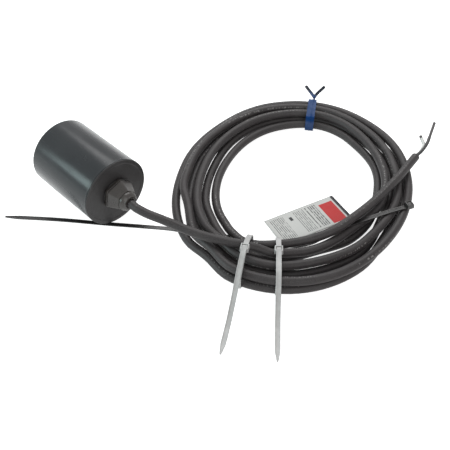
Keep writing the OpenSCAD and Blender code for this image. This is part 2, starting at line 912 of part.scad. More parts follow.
near_head_at = [4, 30];
near_head_z = near_head_at[1];
near_loop = [
    [-27.3, base_z], [31, base_z], [31, top_z - 3], [25, top_z + 0.5],
    [10, near_head_z - 1], [-5, near_head_z - 1], [-21, 21], [-27.3, 14]
];
near_tail = [
    [5, near_head_z + 2.6], [14, near_head_z + 0.8], [26, 25.6], [50, 12],
    [70, 3], [92, base_z], [103, base_z]
];

far_head_at = [0, 23.6];
far_head_z = far_head_at[1];
far_loop = [
    [-21.5, base_z], [38, base_z], [38, top_z - 3], [32, top_z + 0.5],
    [8, top_z + 0.8], [-8, top_z + 0.8], [-19, 20], [-21.5, 14]
];
far_tail = [
    [2, far_head_z + 2.6], [12, far_head_z + 0.8], [32, 23.4], [50, 11],
    [68, 3], [92, base_z], [107, base_z]
];

module tie_near() {
    color([0.82, 0.83, 0.81])
        nylon_tie(near_head, near_dir, near_loop, near_tail, near_head_at);
}

module tie_far() {
    color([0.82, 0.83, 0.81])
        nylon_tie(far_head, far_dir, far_loop, far_tail, far_head_at);
}

module tie_long() {
    w = strap_w - 0.4;
    flat = [[w / 2, -0.6], [w / 2, 0.6], [-w / 2, 0.6], [-w / 2, -0.6]];
    last = long_route[len(long_route) - 1];
    color([0.07, 0.07, 0.07]) {
        sweep(smooth(long_route, 2), flat);
        translate(last + [1.5, 3, head_h / 2 - 0.6])
            rotate([0, 0, 65])
                cube([head_l, head_w - 0.5, head_h], center = true);
    }
}

// A twist tie round the whole bundle, its two ends twisted together at the outside
module twist_tie() {
    t = 0.8;
    in = coil_r(twist_dir, 0.4, 0) - cord_r - 2.2;
    out = coil_r(twist_dir, 3.4, 1) + cord_r - 2.3;
    mid = (in + out) / 2;
    top = high_z + cord_r + gap + t / 2;
    low = floor_gap + t / 2;
    color([0.05, 0.16, 0.42])
        translate([coil_c[0], coil_c[1], 0])
            rotate([90, 0, twist_dir])
                translate([mid, 0, 0])
                    rotate([0, twist_yaw, 0])
                        translate([-mid, 0, 0]) {
                            linear_extrude(twist_w, center = true)
                                loop_outline(
                                    rounded([[in, low], [out, low], [out, top], [in, top]], 4.5), t);
                            rod([out - 2.5, top - 0.5, stem_aside],
                                [out + stem_l, top + 1, stem_aside], stem_d);
                            for (end = twist_ends)
                                rod([out + stem_l - 1, top + 1, stem_aside],
                                    [out + end[0], top + 3, end[1]], end_d);
                        }
}

module tag() {
    color([0.92, 0.92, 0.90])
        translate(tag_corner)
            rotate([0, 0, tag_dir])
                rotate([-2, 0, 0])
                    translate([0, -tag_tuck, 0])
                        cube([tag_l, tag_w, tag_t]);
}

float_shell();
end_cap();
cap_seal();
gland_washer();
gland_body();
gland_nut();
gland_grommet();
gland_locknut();
cord_inner_end();
switch_chassis();
chassis_screws();
tunnel_plug();
steel_ball();
lever_pin();
cam_lever();
switch_case();
switch_cover();
switch_screws();
plunger();
moving_contact();
fixed_contact();
terminal_common();
terminal_load();
wire_sockets();
wire_black();
wire_white();
cord_lead();
cord_coil();
cord_tail();
core_black();
core_white();
strands_black();
strands_white();
tie_near();
tie_far();
tie_long();
twist_tie();
tag();
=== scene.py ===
from math import ceil, cos, floor, pi, radians, sin

import bmesh
import bpy
from mathutils import Matrix, Vector


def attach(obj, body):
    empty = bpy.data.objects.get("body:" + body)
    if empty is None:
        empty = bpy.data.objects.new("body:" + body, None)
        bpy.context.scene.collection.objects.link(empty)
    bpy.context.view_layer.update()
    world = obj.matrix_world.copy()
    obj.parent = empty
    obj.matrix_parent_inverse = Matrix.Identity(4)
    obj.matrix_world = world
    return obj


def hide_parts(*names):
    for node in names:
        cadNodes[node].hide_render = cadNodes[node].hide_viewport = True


# Tethered float switch with its coiled cord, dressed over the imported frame. Sizes in the
# dictionaries are millimetres in the frame's axes, and metres in cameraSet, studio and
# twistLook; meshes are written in metres.

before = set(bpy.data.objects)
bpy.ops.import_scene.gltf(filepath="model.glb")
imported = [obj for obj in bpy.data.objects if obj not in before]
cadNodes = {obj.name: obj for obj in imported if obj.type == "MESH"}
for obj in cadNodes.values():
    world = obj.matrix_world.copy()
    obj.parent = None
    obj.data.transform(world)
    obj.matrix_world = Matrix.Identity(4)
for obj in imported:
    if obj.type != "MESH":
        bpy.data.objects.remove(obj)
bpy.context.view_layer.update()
mm = 0.001
axisHeight = 36.0  # the float lies on its side, its axis along X at this height
print("frame loaded:", len(cadNodes), "nodes")


def put(tree, kind, sockets=None, **settings):
    # adds one node; a socket's value may be another node or one of its outputs
    made = tree.nodes.new(kind)
    for key, value in settings.items():
        setattr(made, key, value)
    for key, value in (sockets or {}).items():
        if isinstance(value, bpy.types.Node):
            value = value.outputs[0]
        if isinstance(value, bpy.types.NodeSocket):
            tree.links.new(value, made.inputs[key])
        else:
            made.inputs[key].default_value = value
    return made


def calc(tree, operation, a, b=0.0):
    return put(tree, "ShaderNodeMath", {0: a, 1: b}, operation=operation).outputs[0]


def blendColours(tree, share, first, second):
    first, second = [(*c, 1) if isinstance(c, tuple) else c for c in (first, second)]
    return put(tree, "ShaderNodeMix", {0: share, 6: first, 7: second}, data_type="RGBA").outputs[2]


def spread(tree, value, low, high, toLow, toHigh):
    # stretches a value from one range to another, without going past the ends
    return put(tree, "ShaderNodeMapRange", {
        "Value": value, "From Min": low, "From Max": high, "To Min": toLow, "To Max": toHigh,
    }).outputs[0]


def noise(tree, where, scale, detail=3.0, stretch=(1, 1, 1)):
    moved = put(tree, "ShaderNodeMapping", {"Vector": where, "Scale": stretch})
    return put(tree, "ShaderNodeTexNoise", {"Vector": moved, "Scale": scale, "Detail": detail}).outputs["Fac"]


def between(tree, value, low, high, edge):
    # 1 inside low to high, 0 outside, with soft edges
    rise = spread(tree, value, low - edge, low + edge, 0, 1)
    fall = spread(tree, value, high - edge, high + edge, 1, 0)
    return calc(tree, "MULTIPLY", rise, fall)


def tinted(tree, drift, dark, light):
    # two colours that drift into each other
    return blendColours(tree, spread(tree, drift, 0.3, 0.7, 0, 1), dark, light)


def unevenGloss(tree, first, second, low, high):
    return spread(tree, calc(tree, "ADD", first, second), 0.7, 1.3, low, high)


def surfacePlace(tree):
    # where a point lies on the surface: along or across it, then round or up it
    uv = put(tree, "ShaderNodeUVMap", uv_map="surfaceUv").outputs[0]
    parts = put(tree, "ShaderNodeSeparateXYZ", {0: uv})
    return uv, parts.outputs[0], parts.outputs[1]


def startFinish(name, metallic, specular):
    finish = bpy.data.materials.new(name)
    finish.use_nodes = True
    tree = finish.node_tree
    shader = tree.nodes["Principled BSDF"]
    shader.inputs["Metallic"].default_value = metallic
    shader.inputs["Specular IOR Level"].default_value = specular
    return finish, tree, put(tree, "ShaderNodeTexCoord").outputs["Object"]


def endFinish(finish, colour, roughness, height, strength, distance=0.0002):
    tree = finish.node_tree
    shader = tree.nodes["Principled BSDF"]
    relief = put(tree, "ShaderNodeBump", {"Height": height, "Strength": strength, "Distance": distance})
    for socket, value in (("Base Color", colour), ("Roughness", roughness), ("Normal", relief.outputs[0])):
        tree.links.new(value, shader.inputs[socket])
    return finish


def grainFinish(name, dark, light, rough, patch=60, grain=1400, depth=0.04, metallic=0.0,
                stretch=(1, 1, 1)):
    # moulded or drawn surface: slow colour drift, uneven gloss and a fine grain
    finish, tree, place = startFinish(name, metallic, 0.5)
    drift = noise(tree, place, patch, 4, stretch)
    fine = noise(tree, place, grain, 2, stretch)
    rough = unevenGloss(tree, drift, fine, *rough)
    return endFinish(finish, tinted(tree, drift, dark, light), rough, fine, depth)


def addObject(name, data):
    made = bpy.data.objects.new(name, data)
    bpy.context.scene.collection.objects.link(made)
    return made


def addPiece(name, mesh, looks, sharp=32):
    mesh.name = name
    if sharp:
        mesh.polygons.foreach_set("use_smooth", [True] * len(mesh.polygons))
        mesh.set_sharp_from_angle(angle=radians(sharp))
    if not mesh.materials:
        for finish in looks:
            mesh.materials.append(finish)
    return addObject(name, mesh)


def meshOf(points, faces, uv=None):
    # points in millimetres
    mesh = bpy.data.meshes.new("part")
    mesh.from_pydata([Vector(p) * mm for p in points], [], faces)
    if uv:
        layer = mesh.uv_layers.new(name="surfaceUv")
        for loop in mesh.loops:
            layer.data[loop.index].uv = uv[loop.index]
    mesh.update()
    return mesh


def joined(meshes):
    # one mesh of several, with every face on its first finish
    whole = bmesh.new()
    for mesh in meshes:
        whole.from_mesh(mesh)
    mesh = bpy.data.meshes.new("joined")
    whole.to_mesh(mesh)
    whole.free()
    mesh.materials.clear()
    return mesh


def turned(rings):
    # closed rings of (x, radius) points, set round the float's axis and joined up
    points, faces, turns, count = [], [], len(rings), len(rings[0])
    for i, ring in enumerate(rings):
        a, j = 2 * pi * i / turns, (i + 1) % turns
        points += [(x, -r * sin(a), axisHeight + r * cos(a)) for x, r in ring]
        for k in range(count):
            n = (k + 1) % count
            if ring[k][1] > 1e-6 or ring[n][1] > 1e-6:
                faces.append((i * count + k, i * count + n, j * count + n, j * count + k))
    return tidied(meshOf(points, faces))


def lathe(profile, turns):
    return turned([profile] * turns)


def tidied(mesh):
    # merges doubles and turns every face outwards
    work = bmesh.new()
    work.from_mesh(mesh)
    bmesh.ops.remove_doubles(work, verts=work.verts, dist=1e-7)
    bmesh.ops.dissolve_degenerate(work, edges=work.edges, dist=1e-8)
    bmesh.ops.recalc_face_normals(work, faces=work.faces)
    work.to_mesh(mesh)
    work.free()
    return mesh


def eased(corners, steps=5):
    # rounds the corners of a profile; each corner is (x, radius, reach)
    made, count = [], len(corners)
    for i, (x, r, reach) in enumerate(corners):
        here = Vector((x, r))
        before = Vector(corners[i - 1][:2]) - here
        after = Vector(corners[(i + 1) % count][:2]) - here
        if reach <= 0:
            made.append((x, r))
            continue
        start = here + before.normalized() * min(reach, before.length * 0.48)
        end = here + after.normalized() * min(reach, after.length * 0.48)
        for k in range(steps + 1):
            u = k / steps
            p = start * (1 - u) ** 2 + here * 2 * u * (1 - u) + end * u * u
            made.append((p.x, p.y))
    return made


def curvePoint(a, b, c, d, u):
    # a point between b and c of a smooth curve that also follows a and d
    return 0.5 * ((2 * b) + (c - a) * u + (2 * a - 5 * b + 4 * c - d) * u * u
                  + (3 * b - a - 3 * c + d) * u ** 3)


def straightEnds(points, count):
    # a smooth curve whose first and last stretches stay straight
    p = [Vector(q) for q in points]
    made = [p[0]]
    for i in range(1, len(p) - 2):
        made += [curvePoint(*p[i - 1:i + 3], j / count) for j in range(count)]
    return made + [p[-2], p[-1]]


def smoothed(points, count):
    p = [Vector(q) for q in points]
    return straightEnds([2 * p[0] - p[1], *p, 2 * p[-1] - p[-2]], count)[1:-1]


def roundedPath(points, reach, count, closed):
    # a path whose corners are replaced by short curves
    p = [Vector(q) for q in points]
    made = [] if closed else [p[0]]
    for i in range(len(p) if closed else len(p) - 1):
        if i == 0 and not closed:
            continue
        back, ahead = p[i - 1] - p[i], p[(i + 1) % len(p)] - p[i]
        cut = min(reach, 0.45 * back.length, 0.45 * ahead.length)
        a, b = p[i] + cut * back.normalized(), p[i] + cut * ahead.normalized()
        for j in range(count + 1):
            u = j / count
            made.append((1 - u) ** 2 * a + 2 * u * (1 - u) * p[i] + u * u * b)
    return made if closed else made + [p[-1]]


def sweep(path, section, closed=False, side=None, width=None):
    # draws a section of (side, up) points along a path; u runs along in metres, v round it
    count, total, ways = len(section), len(path), []
    for i in range(total):
        a = path[i - 1] if closed or i else path[0]
        b = path[(i + 1) % total] if closed or i + 1 < total else path[-1]
        ways.append((b - a).normalized())
    points, faces, uv = [], [], []
    along = [0.0]
    for i in range(1, total + 1):
        along.append(along[-1] + (path[i % total] - path[i - 1]).length)
    for i, (p, way) in enumerate(zip(path, ways)):
        across = side if side else Vector((0, 0, 1)).cross(way).normalized()
        up = way.cross(across).normalized()
        grow = width[i] if width else 1.0
        points += [p + across * (q[0] * grow) + up * q[1] for q in section]
    last = total if closed else total - 1
    for i in range(last):
        for j in range(count):
            a, b = i * count + j, i * count + (j + 1) % count
            c, d = (i + 1) % total * count + j, (i + 1) % total * count + (j + 1) % count
            faces.append((a, b, d, c))
            low, high = along[i] * mm, along[i + 1] * mm
            uv += [(low, j / count), (low, (j + 1) / count), (high, (j + 1) / count), (high, j / count)]
    if not closed:
        faces += [tuple(range(count - 1, -1, -1)), tuple(range((total - 1) * count, total * count))]
        uv += [(0, 0)] * count + [(along[total - 1] * mm, 0)] * count
    return meshOf(points, faces, uv)


def roundSection(radius, sides):
    return [(radius * cos(pi / 2 + 2 * pi * k / sides), radius * sin(pi / 2 + 2 * pi * k / sides))
            for k in range(sides)]


def mirrored(half):
    return half + [(-x, -y) for x, y in half]


def sideWay(degrees):
    a = radians(degrees)
    return Vector((sin(a), -cos(a), 0))


def uprightPlane(origin, degrees):
    # takes (along, up, aside) in an upright plane to the frame
    a = radians(degrees)
    return lambda p: (Vector(origin) + Vector((cos(a), sin(a), 0)) * p[0] + Vector((0, 0, p[1]))
                      + sideWay(degrees) * (p[2] if len(p) > 2 else 0))


def startTree(name, inputs):
    tree = bpy.data.node_groups.new(name, "GeometryNodeTree")
    tree.interface.new_socket("Geometry", in_out="INPUT", socket_type="NodeSocketGeometry")
    for label, value in inputs.items():
        kind = "NodeSocketInt" if isinstance(value, int) else "NodeSocketFloat"
        tree.interface.new_socket(label, in_out="INPUT", socket_type=kind).default_value = value
    tree.interface.new_socket("Geometry", in_out="OUTPUT", socket_type="NodeSocketGeometry")
    return tree, tree.nodes.new("NodeGroupInput").outputs, tree.nodes.new("NodeGroupOutput")


def endTree(tree, output, geometry, finish):
    whole = put(tree, "GeometryNodeRealizeInstances", {0: geometry})
    dressed = put(tree, "GeometryNodeSetMaterial", {"Geometry": whole, "Material": finish})
    tree.links.new(dressed.outputs[0], output.inputs[0])


def grown(tree, sizes, base=None):
    # runs a tree on a mesh and gives back the plain mesh that it makes
    carrier = addObject("carrier", base or bpy.data.meshes.new("carrier"))
    grow = carrier.modifiers.new("grow", "NODES")
    grow.node_group = tree
    for item in tree.interface.items_tree:
        if item.in_out == "INPUT" and item.name in sizes:
            grow[item.identifier] = sizes[item.name]
    shown = carrier.evaluated_get(bpy.context.evaluated_depsgraph_get())
    mesh = bpy.data.meshes.new_from_object(shown)
    bpy.data.objects.remove(carrier)
    return mesh


cameraSet = {"target": (0.1164, 0.0687, 0.0), "azimuth": 45.0, "elevation": 46.0,
             "distance": 0.70, "lens": 55.44}

turn, rise = radians(cameraSet["azimuth"]), radians(cameraSet["elevation"])
back = Vector((sin(turn) * cos(rise), -cos(turn) * cos(rise), sin(rise)))
camera = addObject("viewCamera", bpy.data.cameras.new("viewCamera"))
camera.location = Vector(cameraSet["target"]) + back * cameraSet["distance"]
camera.rotation_euler = (-back).to_track_quat("-Z", "Y").to_euler()
camera.data.lens = cameraSet["lens"]
camera.data.sensor_width = 36
camera.data.clip_start = 0.01
camera.data.clip_end = 50
bpy.context.scene.camera = camera

studio = {
    "skyColour": (1.0, 1.0, 1.0), "skyStrength": 0.34, "floorSize": 6.0,
    "floorColour": (0.80, 0.80, 0.80), "floorGlow": 0.86,
    # name, place, aim, size, power, colour
    "lights": [("topSoftbox", (-0.55, 0.75, 1.15), (0.08, 0.06, 0.0), (1.1, 0.9), 13, (1, 1, 1)),
               ("sideStrip", (-0.74, -1.19, 0.56), (0.0, 0.0, 0.035), (0.9, 0.42), 11, (0.78, 1.0, 1.0)),
               ("frontFill", (1.2, -0.5, 0.8), (0.12, 0.08, 0.0), (0.8, 0.8), 4.5, (1.0, 0.98, 0.96))],
}


def whereSeen(tree):
    # 1 for what the camera, a gloss or a clear piece looks at
    path = put(tree, "ShaderNodeLightPath")
    seen = calc(tree, "MAXIMUM", path.outputs["Is Camera Ray"], path.outputs["Is Glossy Ray"])
    return calc(tree, "MAXIMUM", seen, path.outputs["Is Transmission Ray"])


def addStudio(sizes):
    world = bpy.data.worlds.new("studioWorld")
    bpy.context.scene.world = world
    world.use_nodes = True
    tree = world.node_tree
    tree.nodes.clear()
    seen = whereSeen(tree)
    strength = spread(tree, seen, 0, 1, sizes["skyStrength"], 1.0)
    sky = put(tree, "ShaderNodeBackground", {"Color": (*sizes["skyColour"], 1), "Strength": strength})
    put(tree, "ShaderNodeOutputWorld", {"Surface": sky})

    half = sizes["floorSize"] / 2 / mm
    sheet = meshOf([(-half, -half, 0), (half, -half, 0), (half, half, 0), (-half, half, 0)], [(0, 1, 2, 3)])
    finish = bpy.data.materials.new("studioFloor")
    finish.use_nodes = True
    tree = finish.node_tree
    tree.nodes.clear()
    paint = put(tree, "ShaderNodeBsdfDiffuse", {"Color": (*sizes["floorColour"], 1)})
    strength = calc(tree, "MULTIPLY", whereSeen(tree), sizes["floorGlow"])
    glow = put(tree, "ShaderNodeEmission", {"Color": (1, 1, 1, 1), "Strength": strength})
    both = put(tree, "ShaderNodeAddShader", {0: paint, 1: glow})
    put(tree, "ShaderNodeOutputMaterial", {"Surface": both})
    floor = addPiece("studioFloor", sheet, [finish], sharp=0)


def addLight(name, place, aim, size, power, colour):
    light = addObject(name, bpy.data.lights.new(name, "AREA"))
    light.data.shape = "RECTANGLE"
    light.data.size, light.data.size_y = size
    light.data.energy = power
    light.data.color = colour
    light.location = place
    light.rotation_euler = (Vector(aim) - Vector(place)).to_track_quat("-Z", "Y").to_euler()
    light.visible_camera = False


addStudio(studio)
for light in studio["lights"]:
    addLight(*light)
bpy.context.scene.view_settings.view_transform = "Standard"
print("camera, floor and lights set")


shellLook = {"dark": (0.024, 0.027, 0.030), "light": (0.033, 0.036, 0.039), "rubbed": (0.075, 0.083, 0.085),
             "rough": (0.20, 0.29), "specular": 0.22}


def shellFinish():
    # moulded gloss with slow colour drift, faint haze and fine rubbed marks round it
    look = shellLook
    finish, tree, place = startFinish("floatGloss", 0.0, look["specular"])
    cloud = noise(tree, place, 26, 4)
    haze = noise(tree, place, 70, 3, (0.6, 1, 1))
    rubbed = spread(tree, noise(tree, place, 900, 3, (0.12, 1, 1)), 0.60, 0.80, 0, 0.25)
    colour = blendColours(tree, rubbed, tinted(tree, cloud, look["dark"], look["light"]), look["rubbed"])
    rough = unevenGloss(tree, haze, cloud, *look["rough"])
    return endFinish(finish, colour, rough, noise(tree, place, 90, 2), 0.02, 0.0006)


capLook = {"dark": (0.020, 0.018, 0.018), "light": (0.034, 0.032, 0.033), "rough": (0.42, 0.6),
           "specular": 0.4, "rings": 420.0}


def capFinish():
    # matt moulding with faint turning rings round the float's axis
    look = capLook
    finish, tree, place = startFinish("capMatt", 0.0, look["specular"])
    moved = put(tree, "ShaderNodeMapping", {"Vector": place, "Location": (0, 0, -axisHeight * mm)})
    rings = put(tree, "ShaderNodeTexWave", {"Vector": moved, "Scale": look["rings"], "Distortion": 1.5},
                wave_type="RINGS", rings_direction="X").outputs["Fac"]
    grain = noise(tree, place, 1500, 2)
    colour = tinted(tree, noise(tree, place, 38, 4), look["dark"], look["light"])
    rough = spread(tree, grain, 0.3, 0.7, *look["rough"])
    return endFinish(finish, colour, rough, calc(tree, "ADD", grain, calc(tree, "MULTIPLY", rings, 0.5)), 0.10)


jacketLook = {"dark": (0.023, 0.0205, 0.021), "light": (0.044, 0.039, 0.040), "dust": (0.076, 0.069, 0.068),
              "grain": (0.078, 0.071, 0.071), "legend": (0.30, 0.29, 0.285), "rough": (0.42, 0.62),
              "specular": 0.30}


def jacketFinish():
    # rubber jacket: lengthwise drawing marks, dust, and a worn pale line of short marks
    look = jacketLook
    finish, tree, place = startFinish("jacketRubber", 0.0, look["specular"])
    uv, _, around = surfacePlace(tree)
    streak = noise(tree, uv, 1.0, 3, (22, 26, 1))
    fine = noise(tree, place, 1300, 3)
    dust = spread(tree, noise(tree, place, 55, 4), 0.5, 0.75, 0, 0.3)
    base = blendColours(tree, dust, tinted(tree, streak, look["dark"], look["light"]), look["dust"])
    base = blendColours(tree, spread(tree, fine, 0.42, 0.72, 0, 0.55), base, look["grain"])
    # the line wanders from side to side over the top of the cord
    lineAt = spread(tree, noise(tree, uv, 1.0, 1, (2.1, 0, 1)), 0.35, 0.65, 0.22, 0.78)
    beside = calc(tree, "FRACT", calc(tree, "ADD", around, 0.5))
    offLine = calc(tree, "ABSOLUTE", calc(tree, "SUBTRACT", beside, lineAt))
    inLine = spread(tree, offLine, 0.024, 0.036, 1, 0)
    marks = spread(tree, noise(tree, uv, 1.0, 1, (620, 5, 1)), 0.50, 0.56, 0, 1)
    groups = spread(tree, noise(tree, uv, 1.0, 0, (11, 0, 1)), 0.48, 0.52, 0, 1)
    worn = spread(tree, noise(tree, place, 420, 3), 0.35, 0.6, 0.1, 0.85)
    ink = calc(tree, "MULTIPLY", calc(tree, "MULTIPLY", inLine, marks), calc(tree, "MULTIPLY", groups, worn))
    relief = calc(tree, "ADD", calc(tree, "MULTIPLY", streak, 1.2), fine)
    return endFinish(finish, blendColours(tree, ink, base, look["legend"]),
                     unevenGloss(tree, streak, fine, *look["rough"]), relief, 0.28, 0.0003)


# a deeper blue goes round one spot at the band's inner top corner: its colour, its place in metres and its
# reach
twistLook = {"dark": (0.018, 0.052, 0.15), "light": (0.045, 0.082, 0.20), "deepSpot": (0.001, 0.036, 0.15),
             "ends": (0.002, 0.006, 0.016), "rough": (0.28, 0.5), "specular": 0.12,
             "deepSpotAt": (0.0792, 0.2432, 0.0205), "deepSpotReach": (0.005, 0.0085), "endsFrom": (0.277, 0.280)}


def twistFinish():
    # blue plastic film on the wire, with a paler rubbed bloom and dark free ends
    look = twistLook
    finish, tree, place = startFinish("twistBlue", 0.0, look["specular"])
    creases = noise(tree, place, 620, 2)
    bloom = spread(tree, noise(tree, place, 95, 3), 0.42, 0.6, 0, 1)
    # round one spot, at the band's inner top corner, the colour is deeper
    away = put(tree, "ShaderNodeVectorMath", {0: place, 1: look["deepSpotAt"]}, operation="DISTANCE")
    deepSpot = spread(tree, away.outputs["Value"], *look["deepSpotReach"], 1, 0)
    farY = put(tree, "ShaderNodeSeparateXYZ", {0: place}).outputs[1]
    film = blendColours(tree, bloom, look["dark"], look["light"])
    film = blendColours(tree, deepSpot, film, look["deepSpot"])
    film = blendColours(tree, spread(tree, farY, *look["endsFrom"], 0, 1), film, look["ends"])
    return endFinish(finish, film, spread(tree, creases, 0.3, 0.7, *look["rough"]), creases, 0.2, 0.0003)


tagLook = {
    "dark": (0.54, 0.54, 0.525), "light": (0.62, 0.62, 0.60), "rough": (0.34, 0.5), "specular": 0.2,
    "ink": (0.035, 0.040, 0.042), "stripe": (0.024, 0.024, 0.028), "stripeFrom": (0.955, 0.960),
    # blocks of plain rules: (from, to, pitch, part inked, how dark)
    "rules": [(0.055, 0.235, 0.0245, 0.42, 0.75), (0.385, 0.535, 0.025, 0.40, 0.70),
              (0.552, 0.578, 0.026, 0.60, 0.85), (0.600, 0.712, 0.028, 0.52, 0.88)],
    # a small dark patch and the red panel: (from, to, soft edge) along and up, colour
    "blocks": [((0.295, 0.335, 0.003), (0.66, 0.80, 0.006), (0.030, 0.030, 0.032)),
               ((0.742, 0.935, 0.004), (0.06, 0.84, 0.008), (0.50, 0.016, 0.016))],
}


def tagFinish():
    # printed film: a red panel, a dark edge stripe and plain grey rules, with no wording
    look = tagLook
    finish, tree, place = startFinish("tagFilm", 0.0, look["specular"])
    uv, u, v = surfacePlace(tree)
    fibre = noise(tree, place, 700, 3)
    base = blendColours(tree, fibre, look["dark"], look["light"])
    breaks = noise(tree, uv, 1.0, 1, (60, 9, 1))
    for low, high, pitch, share, depth in look["rules"]:
        step = calc(tree, "FRACT", calc(tree, "DIVIDE", calc(tree, "SUBTRACT", u, low), pitch))
        rule = between(tree, step, 0.08, 0.08 + share, 0.05)
        for limit in (between(tree, u, low, high, 0.002), between(tree, v, 0.10, 0.92, 0.006),
                      spread(tree, breaks, 0.40, 0.46, 0.25 * depth, depth)):
            rule = calc(tree, "MULTIPLY", rule, limit)
        base = blendColours(tree, rule, base, look["ink"])
    for along, up, colour in look["blocks"]:
        block = calc(tree, "MULTIPLY", between(tree, u, *along), between(tree, v, *up))
        base = blendColours(tree, block, base, colour)
    base = blendColours(tree, spread(tree, u, *look["stripeFrom"], 0, 1), base, look["stripe"])
    return endFinish(finish, base, spread(tree, fibre, 0.3, 0.7, *look["rough"]), fibre, 0.05)


# plain grain: dark and light colour, range of roughness, then what differs from the usual
grainLooks = {
    "strandCopper": ((0.045, 0.042, 0.042), (0.13, 0.125, 0.125), (0.30, 0.5),
                     {"patch": 500, "grain": 2500, "depth": 0.08, "metallic": 0.85}),
    "glandNylon": ((0.030, 0.026, 0.024), (0.052, 0.046, 0.041), (0.24, 0.38),
                   {"patch": 70, "grain": 1800, "depth": 0.06}),
    "sealRubber": ((0.012, 0.012, 0.012), (0.026, 0.025, 0.025), (0.6, 0.8), {}),
    "jacketFiller": ((0.30, 0.28, 0.25), (0.52, 0.50, 0.46), (0.8, 0.95), {"grain": 2600, "depth": 0.3}),
    "naturalNylon": ((0.44, 0.437, 0.432), (0.53, 0.527, 0.52), (0.30, 0.45),
                     {"patch": 160, "grain": 700, "depth": 0.12}),
    "blackNylon": ((0.012, 0.011, 0.011), (0.024, 0.022, 0.022), (0.28, 0.42), {}),
    "chassisPlastic": ((0.55, 0.52, 0.44), (0.66, 0.63, 0.55), (0.4, 0.55), {}),
    "leverPlastic": ((0.64, 0.24, 0.035), (0.78, 0.34, 0.06), (0.3, 0.42), {}),
    "switchPhenolic": ((0.014, 0.014, 0.015), (0.032, 0.031, 0.030), (0.38, 0.5), {"grain": 900}),
    "plungerPlastic": ((0.42, 0.02, 0.015), (0.58, 0.04, 0.03), (0.3, 0.4), {}),
    "zincSteel": ((0.50, 0.50, 0.52), (0.64, 0.64, 0.63), (0.28, 0.42), {"metallic": 1.0, "grain": 1100}),
    "ballSteel": ((0.58, 0.59, 0.60), (0.68, 0.69, 0.70), (0.06, 0.14),
                  {"metallic": 1.0, "grain": 600, "depth": 0.01}),
    "springCopper": ((0.62, 0.30, 0.16), (0.80, 0.46, 0.28), (0.24, 0.36),
                     {"metallic": 1.0, "stretch": (0.2, 1, 1)}),
    "contactSilver": ((0.70, 0.69, 0.66), (0.84, 0.83, 0.80), (0.25, 0.4), {"metallic": 1.0}),
    "terminalBrass": ((0.62, 0.43, 0.16), (0.76, 0.57, 0.26), (0.25, 0.38),
                      {"metallic": 1.0, "stretch": (0.2, 1, 1)}),
    "socketNylon": ((0.70, 0.68, 0.60), (0.80, 0.78, 0.71), (0.35, 0.5), {}),
    "coreBlack": ((0.010, 0.010, 0.010), (0.022, 0.021, 0.021), (0.26, 0.4), {"grain": 700}),
    "coreWhite": ((0.62, 0.62, 0.60), (0.74, 0.74, 0.72), (0.28, 0.4), {"grain": 700}),
}
finishes = {"floatGloss": shellFinish(), "capMatt": capFinish(), "jacketRubber": jacketFinish(),
            "twistBlue": twistFinish(), "tagFilm": tagFinish()}
for title, (dark, light, rough, others) in grainLooks.items():
    finishes[title] = grainFinish(title, dark, light, rough, **others)
print("finishes made:", len(finishes))


cord = {
    "diameter": 8.8, "sides": 20, "jacketWall": 1.3,
    "centre": (127.0, 160.5), "startTurn": 310.0, "firstPlace": 0.77, "turns": 5.87,
    "innerRadius": 88.0, "pitch": 12.8, "fan": 3.2, "fanTurn": 304.0,
    "oval": 10.0, "ovalTurn": 114.0, "egg": 1.5, "eggTurn": 40.0,
    "strays": [(70, 30, -2.5, 1), (112, 30, 2.5, 2), (145, 40, 0, 1.5), (165, 60, -4, 0),
               (208, 42, 0, 5.5), (242, 30, 0, 3), (275, 13, 0, -5), (315, 50, 0, 3.5)],
    "loose": [(345, 32, 0.85, 0.6, 1, -4), (4, 30, 0.8, 0.6, 0, 2.8), (24, 34, 1.5, 1.3, 1, 3.8),
              (346, 30, 1.8, 0.6, 0, 3.5), (8, 24, 1.7, 0.5, 0, -1.8), (3, 26, 2.7, 0.5, 0, -4.2),
              (64, 26, 1.4, 3.2, 0, 3.2), (203, 28, 1.2, 0.7, 0, -1), (249, 20, 2.6, 0.45, 1, -6),
              (260, 20, 1, 0.5, 0, -2.6), (322, 26, 0.85, 0.6, 0, -6.6), (322, 26, 1.8, 0.6, 1, -3.2)],
    "tuck": 4.4, "tuckTurn": 230.0, "tuckHalf": 62.0, "leastStep": 1.2, "fillerDepth": 0.6,
    "spreadFrom": 0.4, "spreadOver": 2.4, "tuckFrom": 0.3, "tuckRise": 1.6,
    "lowZ": 6.0, "layer": 9.4, "climb": 0.5, "stepsPerTurn": 120,
    "exit": (56.0, 0.0, axisHeight),
    "lead": [(76, 3.5, 33.8), (88, 9, 31.6), (100.5, 14.5, 29.4), (114, 19.5, 27.7), (128, 25.5, 26.5),
             (142, 33, 25.4), (155, 41.5, 24.2), (165.5, 49.5, 22), (174.5, 57, 18.5)],
    "tail": [(134, 61.5, 7), (147.5, 59.5, 8.3), (160, 61.5, 10.5), (171.5, 68, 13.4), (182, 78, 14.8),
             (191, 89.5, 15.6), (201, 102.5, 18.5), (209.5, 117, 22.8), (213.5, 131, 25.5),
             (215, 147, 26.2), (215.5, 168, 26), (214.5, 192, 25.6), (211, 229, 25.2), (205, 266, 24.6)],
}


def easeInOut(u):
    w = max(0.0, min(1.0, u))
    return w * w * (3 - 2 * w)


def swell(angle, turn, half):
    # from 1 in one direction down to 0 at half on each side of it
    off = (angle - turn + 540) % 360 - 180
    return cos(pi / 2 * off / half) ** 2 if abs(off) < half else 0.0


